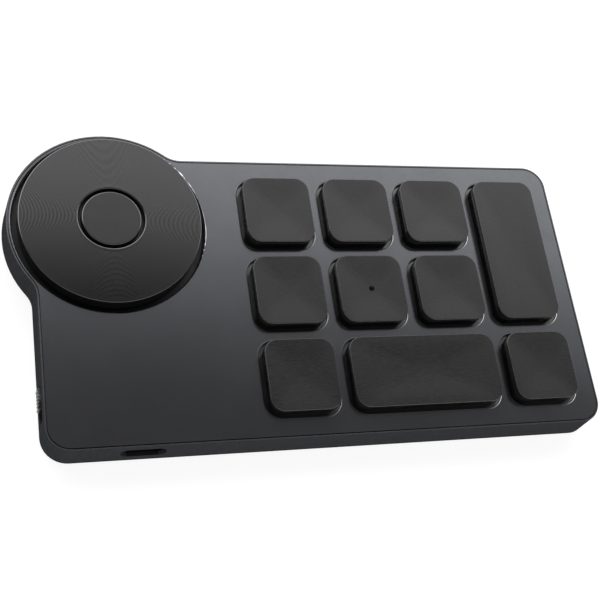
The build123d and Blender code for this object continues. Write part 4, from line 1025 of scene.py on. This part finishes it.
def add_floor():
    """A wide pale floor: white to the eye and in reflections, with the object's soft shadow."""
    half = FLOOR_HALF
    corners = np.array([[-half, -half, 0], [half, -half, 0], [half, half, 0], [-half, half, 0]])
    mesh = bpy.data.meshes.new("floor")
    mesh.from_pydata(corners.tolist(), [], [[0, 1, 2, 3]])
    n = Nodes("floor_finish")
    n.plain(Roughness=FLOOR_ROUGHNESS, Specular_IOR_Level=0.0, Base_Color=FLOOR_LIT)
    seen = n.tree.nodes.new("ShaderNodeBsdfPrincipled")
    for socket, value in (
            ("Base Color", (FLOOR_SEEN, FLOOR_SEEN, FLOOR_SEEN, 1)),
            ("Roughness", FLOOR_ROUGHNESS), ("Specular IOR Level", 0.0),
            ("Emission Color", WHITE), ("Emission Strength", FLOOR_GLOW)):
        seen.inputs[socket].default_value = value
    path = n.tree.nodes.new("ShaderNodeLightPath")
    looked_at = n.math("MAXIMUM", path.outputs["Is Camera Ray"], path.outputs["Is Glossy Ray"])
    looked_at = n.math("MAXIMUM", looked_at, path.outputs["Is Transmission Ray"])
    mix = n.tree.nodes.new("ShaderNodeMixShader")
    n.link(looked_at, mix.inputs[0])
    n.link(n.shader.outputs[0], mix.inputs[1])
    n.link(seen.outputs[0], mix.inputs[2])
    n.link(mix.outputs[0], n.output.inputs[0])
    mesh.materials.append(n.material)
    floor = bpy.data.objects.new("floor", mesh)
    bpy.context.scene.collection.objects.link(floor)


def add_world():
    """Soft surroundings: white at the horizon, a dim sky, dimmer on the left, and a lit panel.

    The sky's level falls from the horizon's to its own as (1 - t)^3, with t from 0 at the top of
    the white band to 1 overhead. The panel adds its level times four smooth steps: of its slope
    direction, of the height, of the distance to the back and of the distance to the side. A
    weaker light over the front is a product of two such steps.
    """
    world = bpy.data.worlds.new("surroundings")
    bpy.context.scene.world = world
    world.use_nodes = True
    tree = world.node_tree
    tree.nodes.clear()

    def put(value, socket):
        """Links an output to a socket, or sets it to a plain value."""
        if isinstance(value, bpy.types.NodeSocket):
            tree.links.new(value, socket)
        else:
            socket.default_value = value

    def calculate(operation, *values):
        """The outcome of a sum, a product or the like."""
        node = tree.nodes.new("ShaderNodeMath")
        node.operation = operation
        for value, socket in zip(values, node.inputs):
            put(value, socket)
        return node.outputs[0]

    def step(value, start, end, kind="SMOOTHSTEP"):
        """0 at the start, 1 at the end and smooth or straight between them."""
        node = tree.nodes.new("ShaderNodeMapRange")
        node.interpolation_type = kind
        for number, socket in zip((value, start, end), node.inputs):
            put(number, socket)
        return node.outputs[0]

    place = tree.nodes.new("ShaderNodeTexCoord").outputs["Generated"]
    parts = tree.nodes.new("ShaderNodeSeparateXYZ")
    put(place, parts.inputs[0])
    side, back, height = parts.outputs
    slope = tree.nodes.new("ShaderNodeVectorMath")
    slope.operation = "DOT_PRODUCT"
    put(place, slope.inputs[0])
    put(PANEL_SLOPE, slope.inputs[1])
    climb = step(height, HORIZON_BAND, 1.0, "LINEAR")
    falling = calculate("POWER", calculate("SUBTRACT", 1.0, climb), SKY_FALL)
    level = calculate("ADD", calculate("MULTIPLY", falling, SKY_HORIZON - SKY_TOP), SKY_TOP)
    from_left = step(side, *LEFT_FADE)
    left_share = calculate("MULTIPLY_ADD", from_left, 1 - LEFT_LEVEL, LEFT_LEVEL)
    level = calculate("MULTIPLY", level, left_share)
    fill = calculate("MULTIPLY", step(back, *FILL_FRONT), step(height, *FILL_TOP))
    level = calculate("MULTIPLY_ADD", fill, FILL_LEVEL, level)
    panel = PANEL_LEVEL
    for value, (start, end) in (
            (slope.outputs["Value"], PANEL_FADE), (height, PANEL_FOOT), (back, PANEL_BACK),
            (calculate("ABSOLUTE", side), PANEL_HALF_WIDTH)):
        panel = calculate("MULTIPLY", step(value, start, end), panel)
    sky = tree.nodes.new("ShaderNodeBackground")
    put(WHITE, sky.inputs["Color"])
    put(calculate("ADD", level, panel), sky.inputs["Strength"])
    output = tree.nodes.new("ShaderNodeOutputWorld")
    put(sky.outputs[0], output.inputs[0])


bpy.context.scene.view_settings.view_transform = "Standard"
add_camera()
add_world()
add_floor()
finish_frame_nodes()
for key_name in KEY_NAMES:
    key_cap(key_name)
    dome(key_name + "_dome")
dome("button_dome")
dial()
centre_button()
power_slider()
port_contacts()
